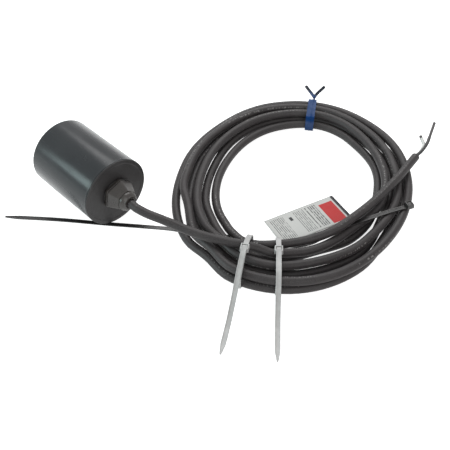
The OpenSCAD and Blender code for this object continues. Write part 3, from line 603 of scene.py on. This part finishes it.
def coilRadius(angle, place, upper):
    # distance from the coil's centre of the turn that lies at this place in the band;
    # upper is 1 in the upper layer and 0 in the lower
    c = cord
    share = easeInOut((place - c["spreadFrom"]) / c["spreadOver"])
    stray = sum(swell(angle, turn, half) * ((1 - share) * inner + share * outer)
                for turn, half, inner, outer in c["strays"])
    for turn, half, spot, reach, layer, shift in c["loose"]:
        off = abs(place - spot) / reach
        if off < 1:
            share = layer * upper + (1 - layer) * (1 - upper)
            stray += swell(angle, turn, half) * cos(pi / 2 * off) ** 2 * share * shift
    tuck = (c["tuck"] * swell(angle, c["tuckTurn"], c["tuckHalf"])
            * easeInOut((place - c["tuckFrom"]) * c["tuckRise"]))
    return (c["innerRadius"] + c["oval"] * cos(radians(2 * (angle - c["ovalTurn"])))
            + c["egg"] * cos(radians(3 * (angle - c["eggTurn"])))
            + place * (c["pitch"] + c["fan"] * cos(radians(angle - c["fanTurn"])))
            + stray - tuck)


def coilPoint(t):
    c = cord
    topTurn = (c["turns"] - c["firstPlace"]) / 2
    angle = c["startTurn"] + 360 * t
    upper = 1 - easeInOut((t - topTurn + c["climb"] / 2) / c["climb"])
    r = coilRadius(angle, c["firstPlace"] + t if t < topTurn else c["turns"] - t, upper)
    z = c["lowZ"] + c["layer"] * upper
    return Vector((c["centre"][0] + r * cos(radians(angle)), c["centre"][1] + r * sin(radians(angle)), z))


def cordRoute():
    c, d = cord, cord["diameter"]
    first, last = coilPoint(0), coilPoint(c["turns"])
    inWay = (coilPoint(0.01) - first).normalized()
    outWay = (last - coilPoint(c["turns"] - 0.01)).normalized()
    coilIn, coilOut = first - inWay * d, last + outWay * d
    exitPoint = Vector(c["exit"])
    lead = [exitPoint, exitPoint + Vector((d, 0, 0)), *c["lead"], coilIn - inWay * d, coilIn]
    coil = [coilPoint(i / c["stepsPerTurn"]) for i in range(floor(c["turns"] * c["stepsPerTurn"]) + 1)]
    tail = [coilOut, coilOut + outWay * 2, *c["tail"]]
    return straightEnds(lead, 5) + coil + [last] + straightEnds(tail, 5)


def buildCord():
    c = cord
    route = cordRoute()
    kept = [route[0]]
    for p in route[1:]:
        if (p - kept[-1]).length > c["leastStep"]:
            kept.append(p)
    kept[-1] = route[-1]
    r = c["diameter"] / 2
    tube = sweep(kept, roundSection(r, c["sides"]))
    # the cut end: a wall of jacket round a pale filler, a little below the cut
    work = bmesh.new()
    work.from_mesh(tube)
    work.faces.ensure_lookup_table()
    face = work.faces[-1]
    way = face.normal.copy()
    bmesh.ops.inset_region(work, faces=[face], thickness=c["jacketWall"] * mm, use_even_offset=True)
    face.material_index = 1
    bmesh.ops.translate(work, verts=face.verts, vec=-way * c["fillerDepth"] * mm)
    work.to_mesh(tube)
    work.free()
    piece = addPiece("pumpCord", tube, [finishes["jacketRubber"], finishes["jacketFiller"]], sharp=50)
    length = sum((b - a).length for a, b in zip(kept, kept[1:]))
    print(f"cord built: {length:.0f} mm, {len(kept)} rings")
    return piece, kept, length


cordPiece, cordPath, cordLength = buildCord()
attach(cordPiece, "float")
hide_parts("cord_lead", "cord_coil", "cord_tail")


cores = {
    "diameter": 3.6, "slip": 0.05, "strandDiameter": 3.2, "lean": (-3, 0, 2), "straight": 3.0,
    "black": [(205.3, 275.9, 26.2), (203.9, 284.9, 26.5), (201.7, 293.4, 27), (198.7, 300.9, 27.6)],
    "white": [(203.1, 277.8, 22.9), (201.4, 285.4, 23), (198.8, 291.4, 23.6), (192.6, 295.4, 25.6)],
    "blackStrands": 25.0, "whiteStrands": 3.5, "wires": 7, "lay": 9.0, "packing": 3.05,
}


def corePath(side, route):
    end, before = Vector(cord["tail"][-1]), Vector(cord["tail"][-2])
    way = (end - before).normalized()
    across = Vector(cores["lean"]).cross(way).normalized()
    start = end + across * side * (cores["diameter"] / 2 + cores["slip"])
    inside = start - way * 0.5
    return straightEnds([inside, start + way * cores["straight"], *route], 6)


def strandTree(finish):
    # wires laid in a helix round each other: one helix, copied round the axis
    tree, given, output = startTree("strandTree", {
        "Wires": 7, "Length": 0.025, "Turns": 3.0, "Helix radius": 0.0006, "Wire radius": 0.0003,
    })
    spiral = put(tree, "GeometryNodeCurveSpiral", {
        "Resolution": 18, "Rotations": given["Turns"], "Start Radius": given["Helix radius"],
        "End Radius": given["Helix radius"], "Height": given["Length"],
    })
    ring = put(tree, "GeometryNodeCurvePrimitiveCircle", {"Resolution": 7, "Radius": given["Wire radius"]})
    wire = put(tree, "GeometryNodeCurveToMesh", {"Curve": spiral, "Profile Curve": ring, "Fill Caps": True})
    spots = put(tree, "GeometryNodeMeshLine", {"Count": given["Wires"], "Offset": (0, 0, 0)})
    share = calc(tree, "DIVIDE", put(tree, "GeometryNodeInputIndex"), given["Wires"])
    spin = put(tree, "ShaderNodeCombineXYZ", {"Z": calc(tree, "MULTIPLY", share, 2 * pi)})
    around = put(tree, "GeometryNodeInstanceOnPoints", {"Points": spots, "Instance": wire, "Rotation": spin})
    endTree(tree, output, around, finish)
    return tree


def buildCores():
    made = {}
    bare = strandTree(finishes["strandCopper"])
    for name, side, length in (("black", -1, cores["blackStrands"]), ("white", 1, cores["whiteStrands"])):
        path = corePath(side, cores[name])
        radius = cores["diameter"] / 2
        tube = sweep(path, roundSection(radius, 18))
        title = "core" + name.capitalize()
        made[title] = addPiece(title, tube, [finishes[title]], sharp=50)
        # the same end and heading as the solid that it replaces
        end = path[-1]
        way = (end - Vector(cores[name][-2])).normalized()
        wireRadius = cores["strandDiameter"] / 2 / cores["packing"]
        mesh = grown(bare, {
            "Wires": cores["wires"], "Length": length * mm, "Turns": length / cores["lay"],
            "Helix radius": (cores["strandDiameter"] / 2 - wireRadius) * mm, "Wire radius": wireRadius * mm,
        })
        turn = way.to_track_quat("Z", "Y").to_matrix().to_4x4()
        mesh.transform(Matrix.Translation(end * mm) @ turn)
        title = "strands" + name.capitalize()
        made[title] = addPiece(title, mesh, [finishes["strandCopper"]], sharp=60)
    return made


coreMade = buildCores()
for title, piece in coreMade.items():
    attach(piece, "float")
    colour = "black" if title.endswith("Black") else "white"
    if title.startswith("core"):
        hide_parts("core_" + colour)
    else:
        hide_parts("strands_" + colour)
print("cores and strands built")


nylonTies = {
    "width": 5.0, "thickness": 1.2, "groove": 3.0, "grooveDepth": 0.35, "toothStep": 1.5, "ribShare": 0.96,
    "headSize": (8.0, 8.5, 5.0), "tipLength": 11.0, "tipShare": 0.28, "loopCorner": 6, "tailCorner": 9,
    "ringStep": 2.0, "bareRings": 5, "edge": 0.22,
    "near": {"head": (168, 44, 0), "turn": 302, "headAt": (4.0, 30.0),
             "loop": [(-27.3, 0.7), (31, 0.7), (31, 17.7), (25, 21.2), (10, 29), (-5, 29), (-21, 21),
                      (-27.3, 14)],
             "tail": [(5, 32.6), (14, 30.8), (26, 25.6), (50, 12), (70, 3), (92, 0.7), (103, 0.7)]},
    "far": {"head": (190.5, 65.5, 0), "turn": 312, "headAt": (0.0, 23.6),
            "loop": [(-21.5, 0.7), (38, 0.7), (38, 17.7), (32, 21.2), (8, 21.5), (-8, 21.5), (-19, 20),
                     (-21.5, 14)],
            "tail": [(2, 26.2), (12, 24.4), (32, 23.4), (50, 11), (68, 3), (92, 0.7), (107, 0.7)]},
}


def strapSection(s, up):
    # a strap with eased edges and a shallow toothed channel in one face
    w, t, g, e = s["width"] / 2, s["thickness"] / 2, s["groove"] / 2, s["edge"]
    bed = t - s["grooveDepth"]
    section = [(-w, -t + e), (-w + e, -t), (w - e, -t), (w, -t + e), (w, t - e), (w - e, t), (g + 0.15, t),
               (g, bed), (-g, bed), (-g - 0.15, t), (-w + e, t), (-w, t - e)]
    return section if up > 0 else [(x, -y) for x, y in reversed(section)]


def toothTree(finish):
    # small ribs set square across a path, one every step
    tree, given, output = startTree("toothTree", {
        "Step": 0.0015, "Rib width": 0.003, "Rib height": 0.0003, "Rib length": 0.0007, "Lift": 0.0004,
    })
    line = put(tree, "GeometryNodeMeshToCurve", {0: given[0]})
    spots = put(tree, "GeometryNodeCurveToPoints", {"Curve": line, "Length": given["Step"]}, mode="LENGTH")
    size = put(tree, "ShaderNodeCombineXYZ", {
        "X": given["Rib length"], "Y": given["Rib width"], "Z": given["Rib height"],
    })
    rib = put(tree, "GeometryNodeMeshCube", {"Size": size})
    axes = put(tree, "ShaderNodeSeparateXYZ", {0: put(tree, "GeometryNodeInputPosition")})
    # the rib leans, as a ratchet tooth does
    lean = calc(tree, "MULTIPLY", axes.outputs["Z"], 0.8)
    shear = put(tree, "ShaderNodeCombineXYZ", {"X": lean, "Z": given["Lift"]})
    leant = put(tree, "GeometryNodeSetPosition", {"Geometry": rib, "Offset": shear})
    turnWay = put(tree, "FunctionNodeAlignRotationToVector", {"Vector": spots.outputs["Tangent"]}, axis="X")
    across = put(tree, "GeometryNodeInputNamedAttribute", {"Name": "across"}, data_type="FLOAT_VECTOR")
    turnSide = put(tree, "FunctionNodeAlignRotationToVector", {"Rotation": turnWay, "Vector": across},
                   axis="Y", pivot_axis="X")
    ribs = put(tree, "GeometryNodeInstanceOnPoints", {"Points": spots, "Instance": leant, "Rotation": turnSide})
    endTree(tree, output, ribs, finish)
    return tree


def pathMesh(path, across):
    # a bare line of edges with the strap's width direction at each point
    mesh = bpy.data.meshes.new("path")
    mesh.from_pydata([p * mm for p in path], [(i, i + 1) for i in range(len(path) - 1)], [])
    layer = mesh.attributes.new("across", "FLOAT_VECTOR", "POINT")
    for i, way in enumerate(across):
        layer.data[i].vector = way
    return mesh


def growRibs(teeth, s, side, path, across):
    # ribs along a strap's channel, above or below its middle
    return grown(teeth, {
        "Step": s["toothStep"] * mm, "Rib width": s["groove"] * s["ribShare"] * mm,
        "Rib length": s["toothStep"] * 0.5 * mm, "Rib height": s["grooveDepth"] * mm,
        "Lift": side * (s["thickness"] - s["grooveDepth"]) / 2 * mm,
    }, pathMesh(path, across))


# shares of the length and width at the top, eased edge, share and lip of the window, its
# depth, and the pawl's inset, shift and height
headShape = {"shoulders": (0.84, 0.90), "edge": 0.55, "window": 0.17, "lip": 0.12, "depth": 1.5,
             "pawlInset": 0.9, "pawlShift": 0.3, "pawlHeight": 0.9}


def tieHead(s, spot, turn):
    # a moulded head with a window for the tail and sloping shoulders
    h, (length, width, height) = headShape, s["headSize"]
    work = bmesh.new()
    bmesh.ops.create_cube(work, size=1.0)
    for v in work.verts:
        v.co = Vector((v.co.x * length, v.co.y * width, v.co.z * height)) * mm
        if v.co.z > 0:
            v.co.x *= h["shoulders"][0]
            v.co.y *= h["shoulders"][1]
    work.faces.ensure_lookup_table()
    bmesh.ops.bevel(work, geom=list(work.edges), offset=h["edge"] * mm, segments=3, profile=0.6,
                    affect="EDGES")
    work.faces.ensure_lookup_table()
    top = max(work.faces, key=lambda f: f.calc_area() if f.normal.z > 0.9 else 0)
    bmesh.ops.inset_region(work, faces=[top], thickness=min(width - s["width"], length) * h["window"] * mm)
    bmesh.ops.inset_region(work, faces=[top], thickness=h["lip"] * mm, depth=-h["depth"] * mm)
    bmesh.ops.inset_region(work, faces=[top], thickness=h["pawlInset"] * mm)
    bmesh.ops.translate(work, verts=top.verts, vec=(h["pawlShift"] * mm, 0, h["pawlHeight"] * mm))
    mesh = bpy.data.meshes.new("head")
    work.to_mesh(mesh)
    work.free()
    mesh.transform(Matrix.Translation(spot * mm) @ Matrix.Rotation(turn, 4, "Z"))
    return mesh


def tipWidths(path, tip, least):
    # full width, drawn in to a blunt point over the last stretch
    along = [0.0]
    for a, b in zip(path, path[1:]):
        along.append(along[-1] + (b - a).length)
    total = along[-1]
    return [least + (1 - least) * min(1.0, (total - s) / tip) ** 0.8 for s in along]


def refined(path, step):
    # splits long stretches, so that a tip or bend has enough rings
    made = []
    for a, b in zip(path, path[1:]):
        count = max(1, ceil((b - a).length / step))
        made += [a.lerp(b, k / count) for k in range(count)]
    return made + [path[-1]]


def buildTie(name, sizes, teeth):
    s = nylonTies
    place, side = uprightPlane(sizes["head"], sizes["turn"]), sideWay(sizes["turn"])
    loop = [place(p) for p in roundedPath(sizes["loop"], s["loopCorner"], 8, True)]
    tail = refined([place(p) for p in roundedPath(sizes["tail"], s["tailCorner"], 8, False)], s["ringStep"])
    section = strapSection(s, -1)
    band = sweep(loop, section, closed=True, side=side)
    strap = sweep(tail, section, side=side, width=tipWidths(tail, s["tipLength"], s["tipShare"]))
    tail = tail[:-s["bareRings"]]  # no ribs on the tip
    flip = sum((b - a).cross(side).z for a, b in zip(tail, tail[1:])) < 0
    ribs = growRibs(teeth, s, 1 if flip else -1, tail, [side] * len(tail))
    head = tieHead(s, place(sizes["headAt"]), radians(sizes["turn"]))
    return addPiece(name, joined([tidied(band), strap, ribs, head]), [finishes["naturalNylon"]])


toothMaker = toothTree(finishes["naturalNylon"])
tieNear = buildTie("tieNear", nylonTies["near"], toothMaker)
tieFar = buildTie("tieFar", nylonTies["far"], toothMaker)
for piece, node in ((tieNear, "tie_near"), (tieFar, "tie_far")):
    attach(piece, "float")
    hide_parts(node)
print("nylon ties built")


longTie = {
    "width": 4.6, "thickness": 1.2, "groove": 2.2, "grooveDepth": 0.3, "toothStep": 1.4, "ribShare": 0.95,
    "headSize": (8.0, 8.0, 5.0), "headTurn": 65.0, "headShift": (1.5, 3.0, 1.9),
    "tipLength": 14.0, "tipShare": 0.3, "ringStep": 3.0, "bareRings": 5, "edge": 0.22,
    "route": [(-50, -82, 0.7), (-8, -46, 0.7), (33, -13.7, 0.7), (61.5, 9.5, 0.7), (84, 27, 0.7),
              (110, 43, 0.7), (132, 60, 0.7), (152, 71.5, 0.7), (172, 86, 0.7), (186, 96.5, 1.2),
              (197, 108, 5.5), (204, 118.5, 13), (210, 129, 18.8), (217, 144, 20.9), (224.5, 163, 20.9),
              (233, 184, 20.9), (240, 199, 20.9)],
}


def buildLongTie():
    s = longTie
    path = refined(smoothed(s["route"], 8), s["ringStep"])
    widths = tipWidths(path[::-1], s["tipLength"], s["tipShare"])[::-1]
    strap = sweep(path, strapSection(s, 1), width=widths)
    inner = path[s["bareRings"]:-2]  # no ribs on the tip or in the head
    across = [Vector((0, 0, 1)).cross(b - a).normalized()
              for a, b in zip([inner[0], *inner], [*inner[1:], inner[-1]])]
    ribs = growRibs(toothTree(finishes["blackNylon"]), s, 1, inner, across)
    head = tieHead(s, Vector(s["route"][-1]) + Vector(s["headShift"]), radians(s["headTurn"]))
    return addPiece("tieLong", joined([strap, ribs, head]), [finishes["blackNylon"]])


tieLong = buildLongTie()
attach(tieLong, "float")
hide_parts("tie_long")
print("long tie built")


twistTie = {
    "turn": 121.0, "yaw": 4.0, "width": 9.5, "film": 0.3, "wire": 0.8, "corner": 4.5,
    "innerPlace": 0.4, "innerMargin": 2.2, "outerPlace": 3.4, "outerTuck": 2.3,
    "floorGap": 0.1, "gap": 0.3, "stemTurns": 1.5, "stemLength": 4.5, "stemRadius": 0.62, "aside": 1.5,
    "stemStrip": 0.58, "stemBack": 2.5, "stemSteps": 30, "bulge": (0.35, 0.8),
    # half the section of a free end
    "endHalf": [(-1.6, -0.9), (-0.7, -1.1), (0, -1.35), (0.7, -1.1), (1.6, -0.9)],
    # the two free ends: (outwards, up, aside)
    "ends": [[(0.5, 1, 1.5), (5, 1.4, 2.9), (10, 2.0, 5.4), (15.5, 2.6, 8.6), (21, 3, 11.5)],
             [(0.5, 1, 1.5), (5, 1.5, -1.2), (10, 2.2, -4.6), (14.5, 2.7, -7.6), (18.5, 3, -10)]],
}


def buildTwistTie():
    s, r = twistTie, cord["diameter"] / 2
    inner = coilRadius(s["turn"], s["innerPlace"], 0) - r - s["innerMargin"]
    outer = coilRadius(s["turn"], s["outerPlace"], 1) + r - s["outerTuck"]
    top = cord["lowZ"] + cord["layer"] + r + s["gap"] + s["wire"] / 2
    low = s["floorGap"] + s["wire"] / 2
    middle, yaw = (inner + outer) / 2, radians(s["yaw"])
    upright = uprightPlane((*cord["centre"], 0), s["turn"])

    def place(p):
        x, z = p[0] - middle, p[2]
        return upright((middle + x * cos(yaw) + z * sin(yaw), p[1], z * cos(yaw) - x * sin(yaw)))

    side = sideWay(s["turn"] + s["yaw"])
    w, f, h = s["width"] / 2, s["film"] / 2, s["wire"] / 2
    near, far = s["bulge"]
    section = mirrored([(-w, -f), (-far, -f), (-near, -h), (near, -h), (far, -f), (w, -f)])
    corners = [(inner, low, 0), (outer, low, 0), (outer, top, 0), (inner, top, 0)]
    band = [place(p) for p in roundedPath(corners, s["corner"], 8, True)]
    parts = [tidied(sweep(band, section, closed=True, side=side))]
    # the stem: two strips wound round each other
    start = outer - s["stemBack"]
    for phase in (0, pi):
        path = []
        for k in range(s["stemSteps"] + 1):
            u = k / s["stemSteps"]
            turn = phase + 2 * pi * s["stemTurns"] * u
            path.append(place((start + s["stemLength"] * u, top + u + s["stemRadius"] * sin(turn),
                               s["aside"] + s["stemRadius"] * cos(turn))))
        parts.append(sweep(path, roundSection(s["stemStrip"], 10)))
    # the two free ends curl away
    for end in s["ends"]:
        path = smoothed([place((outer + p[0], top + p[1], p[2])) for p in end], 6)
        parts.append(sweep(path, mirrored(s["endHalf"])))
    return addPiece("twistTie", joined(parts), [finishes["twistBlue"]])


twistPiece = buildTwistTie()
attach(twistPiece, "float")
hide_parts("twist_tie")
print("twist tie built")


tagSheet = {"corner": (169.1, 86.5, 9.3), "turn": 72.5, "tilt": -2.0, "tuck": 14.0,
            "length": 81.0, "width": 38.0, "thickness": 0.3, "lift": 0.05, "bow": 0.12,
            "columns": 40, "rows": 20}


def buildTag():
    s = tagSheet
    place = (Matrix.Translation(Vector(s["corner"])) @ Matrix.Rotation(radians(s["turn"]), 4, "Z")
             @ Matrix.Rotation(radians(s["tilt"]), 4, "X"))
    points, faces, uv = [], [], []
    for i in range(s["columns"] + 1):
        for j in range(s["rows"] + 1):
            u, v = i / s["columns"], j / s["rows"]
            bow = s["bow"] * sin(pi * u) * (0.5 + 0.5 * v)
            points.append(place @ Vector((s["length"] * u, s["width"] * v - s["tuck"], s["lift"] + bow)))
    step = s["rows"] + 1
    for i in range(s["columns"]):
        for j in range(s["rows"]):
            a = i * step + j
            faces.append((a, a + step, a + step + 1, a + 1))
            for p, q in ((i, j), (i + 1, j), (i + 1, j + 1), (i, j + 1)):
                uv.append((p / s["columns"], q / s["rows"]))
    piece = addPiece("cordTag", meshOf(points, faces, uv), [finishes["tagFilm"]])
    thick = piece.modifiers.new("thickness", "SOLIDIFY")
    thick.thickness = s["thickness"] * mm
    thick.offset = 1.0
    return piece


tagPiece = buildTag()
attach(tagPiece, "float")
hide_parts("tag")
print("tag built")


floatBody = {
    "radius": 36.0, "wall": 2.5, "blindX": -56.0, "capX": 30.0, "seamX": 32.8, "faceX": 34.0,
    "band": 0.15, "bandLength": 2.2,
    # shallow rings in both ends: radii of edge, floor, floor and edge, then depth
    "blindRing": (9.0, 9.6, 12.0, 12.6, 0.25), "faceRing": (13.6, 14.1, 31.6, 32.2, 0.35),
    "facets": 160, "spigotX": 22.0, "spigotWall": 2.5, "sealWidth": 2.0, "sealDepth": 1.5, "slip": 0.05,
    "postY": 20.5, "postDiameter": 7.0, "postX": 22.0, "screwDiameter": 3.0, "threadDiameter": 20.0,
}


def tubeAlong(x0, x1, outer, inner, y):
    # a short tube along X beside the axis
    mesh = lathe(eased([(x0, inner, 0), (x0, outer, 0.3), (x1, outer, 0), (x1, inner, 0)]), 40)
    mesh.transform(Matrix.Translation((0, y * mm, 0)))
    return mesh


def buildFloat():
    s = floatBody
    r, band, seam = s["radius"], s["band"], s["seamX"]
    bore = r - s["wall"]
    blind, bandX = s["blindX"], seam - s["bandLength"]
    a, b, c, d, deep = s["blindRing"]
    shell = eased([
        (blind, 0, 0), (blind, a, 0.6), (blind + deep, b, 0.5), (blind + deep, c, 0.5), (blind, d, 0.6),
        (blind, r - band, 2.4), (bandX, r - band, 0.3), (bandX + 0.25, r, 0.3), (seam, r, 0.45),
        (seam, bore, 0.2), (blind + s["wall"], bore, 1.0), (blind + s["wall"], 0, 0),
    ])
    shellPiece = addPiece("floatShell", lathe(shell, s["facets"]), [finishes["floatGloss"]])
    hole = s["threadDiameter"] / 2 + s["slip"]
    groove = (s["spigotX"] + s["capX"]) / 2
    half = s["sealWidth"] / 2 + s["slip"]
    out = bore - s["slip"]
    inside = out - s["spigotWall"]
    face, bed = s["faceX"], out - s["sealDepth"]
    a, b, c, d, deep = s["faceRing"]
    cap = eased([
        (face, hole, 0.2), (face, a, 0.3), (face - deep, b, 0.3), (face - deep, c, 0.4), (face, d, 0.4),
        (face, r - 0.1, 0.7), (seam + 0.3, r - 0.1, 0.2), (seam + 0.02, r - 0.6, 0), (seam + 0.02, out, 0),
        (groove + half, out, 0.1), (groove + half, bed, 0), (groove - half, bed, 0), (groove - half, out, 0.1),
        (s["spigotX"], out, 0.5), (s["spigotX"], inside, 0.3), (s["capX"], inside, 0.5), (s["capX"], hole, 0),
    ])
    parts = [lathe(cap, s["facets"])]
    post, screw = s["postDiameter"] / 2, s["screwDiameter"] / 2 + s["slip"]
    for y in (-s["postY"], s["postY"]):
        parts.append(tubeAlong(s["postX"], s["capX"] + 0.5, post, screw, y))
    capPiece = addPiece("floatCap", joined(parts), [finishes["capMatt"]])
    return shellPiece, capPiece


shellPiece, capPiece = buildFloat()
for piece, node, slot in ((shellPiece, "float_shell", "float_gloss"), (capPiece, "end_cap", "cap_matte")):
    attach(piece, "float")
    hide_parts(node)
print("float built")


gland = {
    "washerX": (34.0, 35.2), "washerRadius": 15.5, "threadRadius": 10.0, "threadX": 24.0,
    "flangeX": (35.2, 38.2), "stemRadius": 8.6, "stemX": 50.0, "boreRadius": 4.45,
    "pocketX": 43.0, "pocketRadius": 7.0, "threadPitch": 1.5,
    "nutX": (38.5, 50.0), "acrossFlats": 30.0, "taper": 5.5, "turn": radians(17),
    "noseX": 56.0, "noseRadius": 10.0, "mouthRadius": 7.6, "noseBore": 4.9,
    "cornerBlend": 0.5, "hexFacets": 144, "stemFacets": 112, "washerFacets": 96,
}


def hexRing(corner, angle, blunt):
    # how far a hexagon with blunted corners reaches at this angle
    flat = corner * cos(radians(30))
    off = (angle - gland["turn"] + pi / 6) % (pi / 3) - pi / 6
    reach, limit, blend = flat / cos(off), corner - blunt, gland["cornerBlend"]
    share = max(blend - abs(reach - limit), 0.0) / blend
    return min(reach, limit) - share * share * blend / 4


def hexLathe(outside, inside, blunt):
    # outside is (x, corner radius, how round from 0 to 1); inside is (x, radius)
    turns = gland["hexFacets"]
    angles = [2 * pi * i / turns for i in range(turns)]
    return turned([[(x, hexRing(r, angle, blunt) * (1 - soft) + r * soft) for x, r, soft in outside] + inside
                   for angle in angles])


def nutMesh(s):
    # a hexagon that narrows to its front, then a round nose with a rolled mouth
    corner = s["acrossFlats"] / 2 / cos(radians(30))
    x0, x1 = s["nutX"]
    tip = corner - s["taper"]
    outside = [(x0, corner - 0.9, 0), (x0 + 0.3, corner - 0.35, 0), (x0 + 0.9, corner - 0.25, 0)]
    steps = [k / 8 for k in range(1, 9)]
    for u in steps:
        outside.append((x0 + 0.9 + (x1 - 1.3 - x0) * u, corner - 0.25 + (tip - corner + 0.15) * u, 0))
    outside += [(x1 - 0.15, tip - 0.25, 0), (x1, tip - 0.65, 0)]
    nose, mouth, end = s["noseRadius"], s["mouthRadius"], s["noseX"]
    length = end - x1
    outside += [(x1 + 0.02, nose - 0.25, 1), (x1 + 0.3, nose, 1), (x1 + length * 0.36, nose, 1)]
    for u in steps:
        drop = (nose - mouth) * (0.55 * u + 0.45 * u * u)
        outside.append((x1 + length * (0.38 + 0.52 * u), nose - drop, 1))
    outside += [(end - 0.3, mouth - 0.02, 1), (end - 0.08, mouth - 0.25, 1), (end, mouth - 0.6, 1)]
    inside = [(end, s["noseBore"] + 0.7), (end - 0.3, s["noseBore"] + 0.15), (end - 1.0, s["noseBore"]),
              (s["stemX"] + 0.35, s["noseBore"]), (s["stemX"] + 0.3, s["stemRadius"] + 0.05),
              (x0, s["stemRadius"] + 0.05)]
    return hexLathe(outside, inside, 0.28)


def buildGland():
    s = gland
    w0, w1 = s["washerX"]
    hole, edge = s["threadRadius"] + 0.05, s["washerRadius"]
    washer = lathe(eased([(w0, hole, 0), (w0, edge, 0.3), (w1, edge, 0.3), (w1, hole, 0)]), s["washerFacets"])
    f0, f1 = s["flangeX"]
    corner = s["acrossFlats"] / 2 / cos(radians(30))
    rim = [(f0, corner - 0.5, 0), (f0 + 0.3, corner, 0), (f1 - 0.35, corner, 0), (f1, corner - 0.55, 0)]
    within = s["stemRadius"] - 0.5
    flange = hexLathe(rim, [(f1, within), (f0, within)], 0.3)
    stem, pocket, bore, root = s["stemRadius"], s["pocketRadius"], s["boreRadius"], s["threadRadius"] - 0.7
    profile = [(f0, s["threadRadius"], 0.1), (f0, stem + 0.4, 0), (f0, stem, 0), (s["stemX"], stem, 0.5),
               (s["stemX"], pocket, 0.2), (s["pocketX"], pocket, 0), (s["pocketX"], bore, 0.2),
               (s["threadX"], bore, 0.3), (s["threadX"], root, 0.3)]
    # thread crests and roots, as rings
    x, pitch, crest = s["threadX"] + 0.6, s["threadPitch"], s["threadRadius"] - 0.05
    while x + pitch < f0:
        profile += [(x, root, 0), (x + pitch * 0.4, crest, 0.1), (x + pitch * 0.6, crest, 0.1)]
        x += pitch
    base = lathe(eased(profile, 3), s["stemFacets"])
    return {
        "glandWasher": addPiece("glandWasher", washer, [finishes["sealRubber"]]),
        "glandBase": addPiece("glandBase", joined([base, flange]), [finishes["glandNylon"]]),
        "glandNut": addPiece("glandNut", nutMesh(s), [finishes["glandNylon"]], sharp=28),
    }


glandMade = buildGland()
for title, node, slot in (("glandWasher", "gland_washer", "seal_rubber"),
                          ("glandBase", "gland_body", "gland_plastic"),
                          ("glandNut", "gland_nut", "gland_plastic")):
    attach(glandMade[title], "float")
    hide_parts(node)
print("gland built")


carried = {
    "cap_seal": "sealRubber", "gland_grommet": "sealRubber", "gland_locknut": "glandNylon",
    "cord_inner_end": "jacketRubber", "switch_chassis": "chassisPlastic", "chassis_screws": "zincSteel",
    "tunnel_plug": "sealRubber", "steel_ball": "ballSteel", "lever_pin": "zincSteel",
    "cam_lever": "leverPlastic", "switch_case": "switchPhenolic", "switch_cover": "switchPhenolic",
    "switch_screws": "zincSteel",
    "plunger": "plungerPlastic", "moving_contact": "springCopper", "fixed_contact": "contactSilver",
    "terminal_common": "terminalBrass", "terminal_load": "terminalBrass", "wire_sockets": "socketNylon",
    "wire_black": "coreBlack", "wire_white": "coreWhite",
}
for node, finish in carried.items():
    piece = cadNodes[node]
    piece.data.materials.clear()
    piece.data.materials.append(finishes[finish])
print("carried parts dressed:", len(carried))


[tuple(p * mm) for p in cordPath]
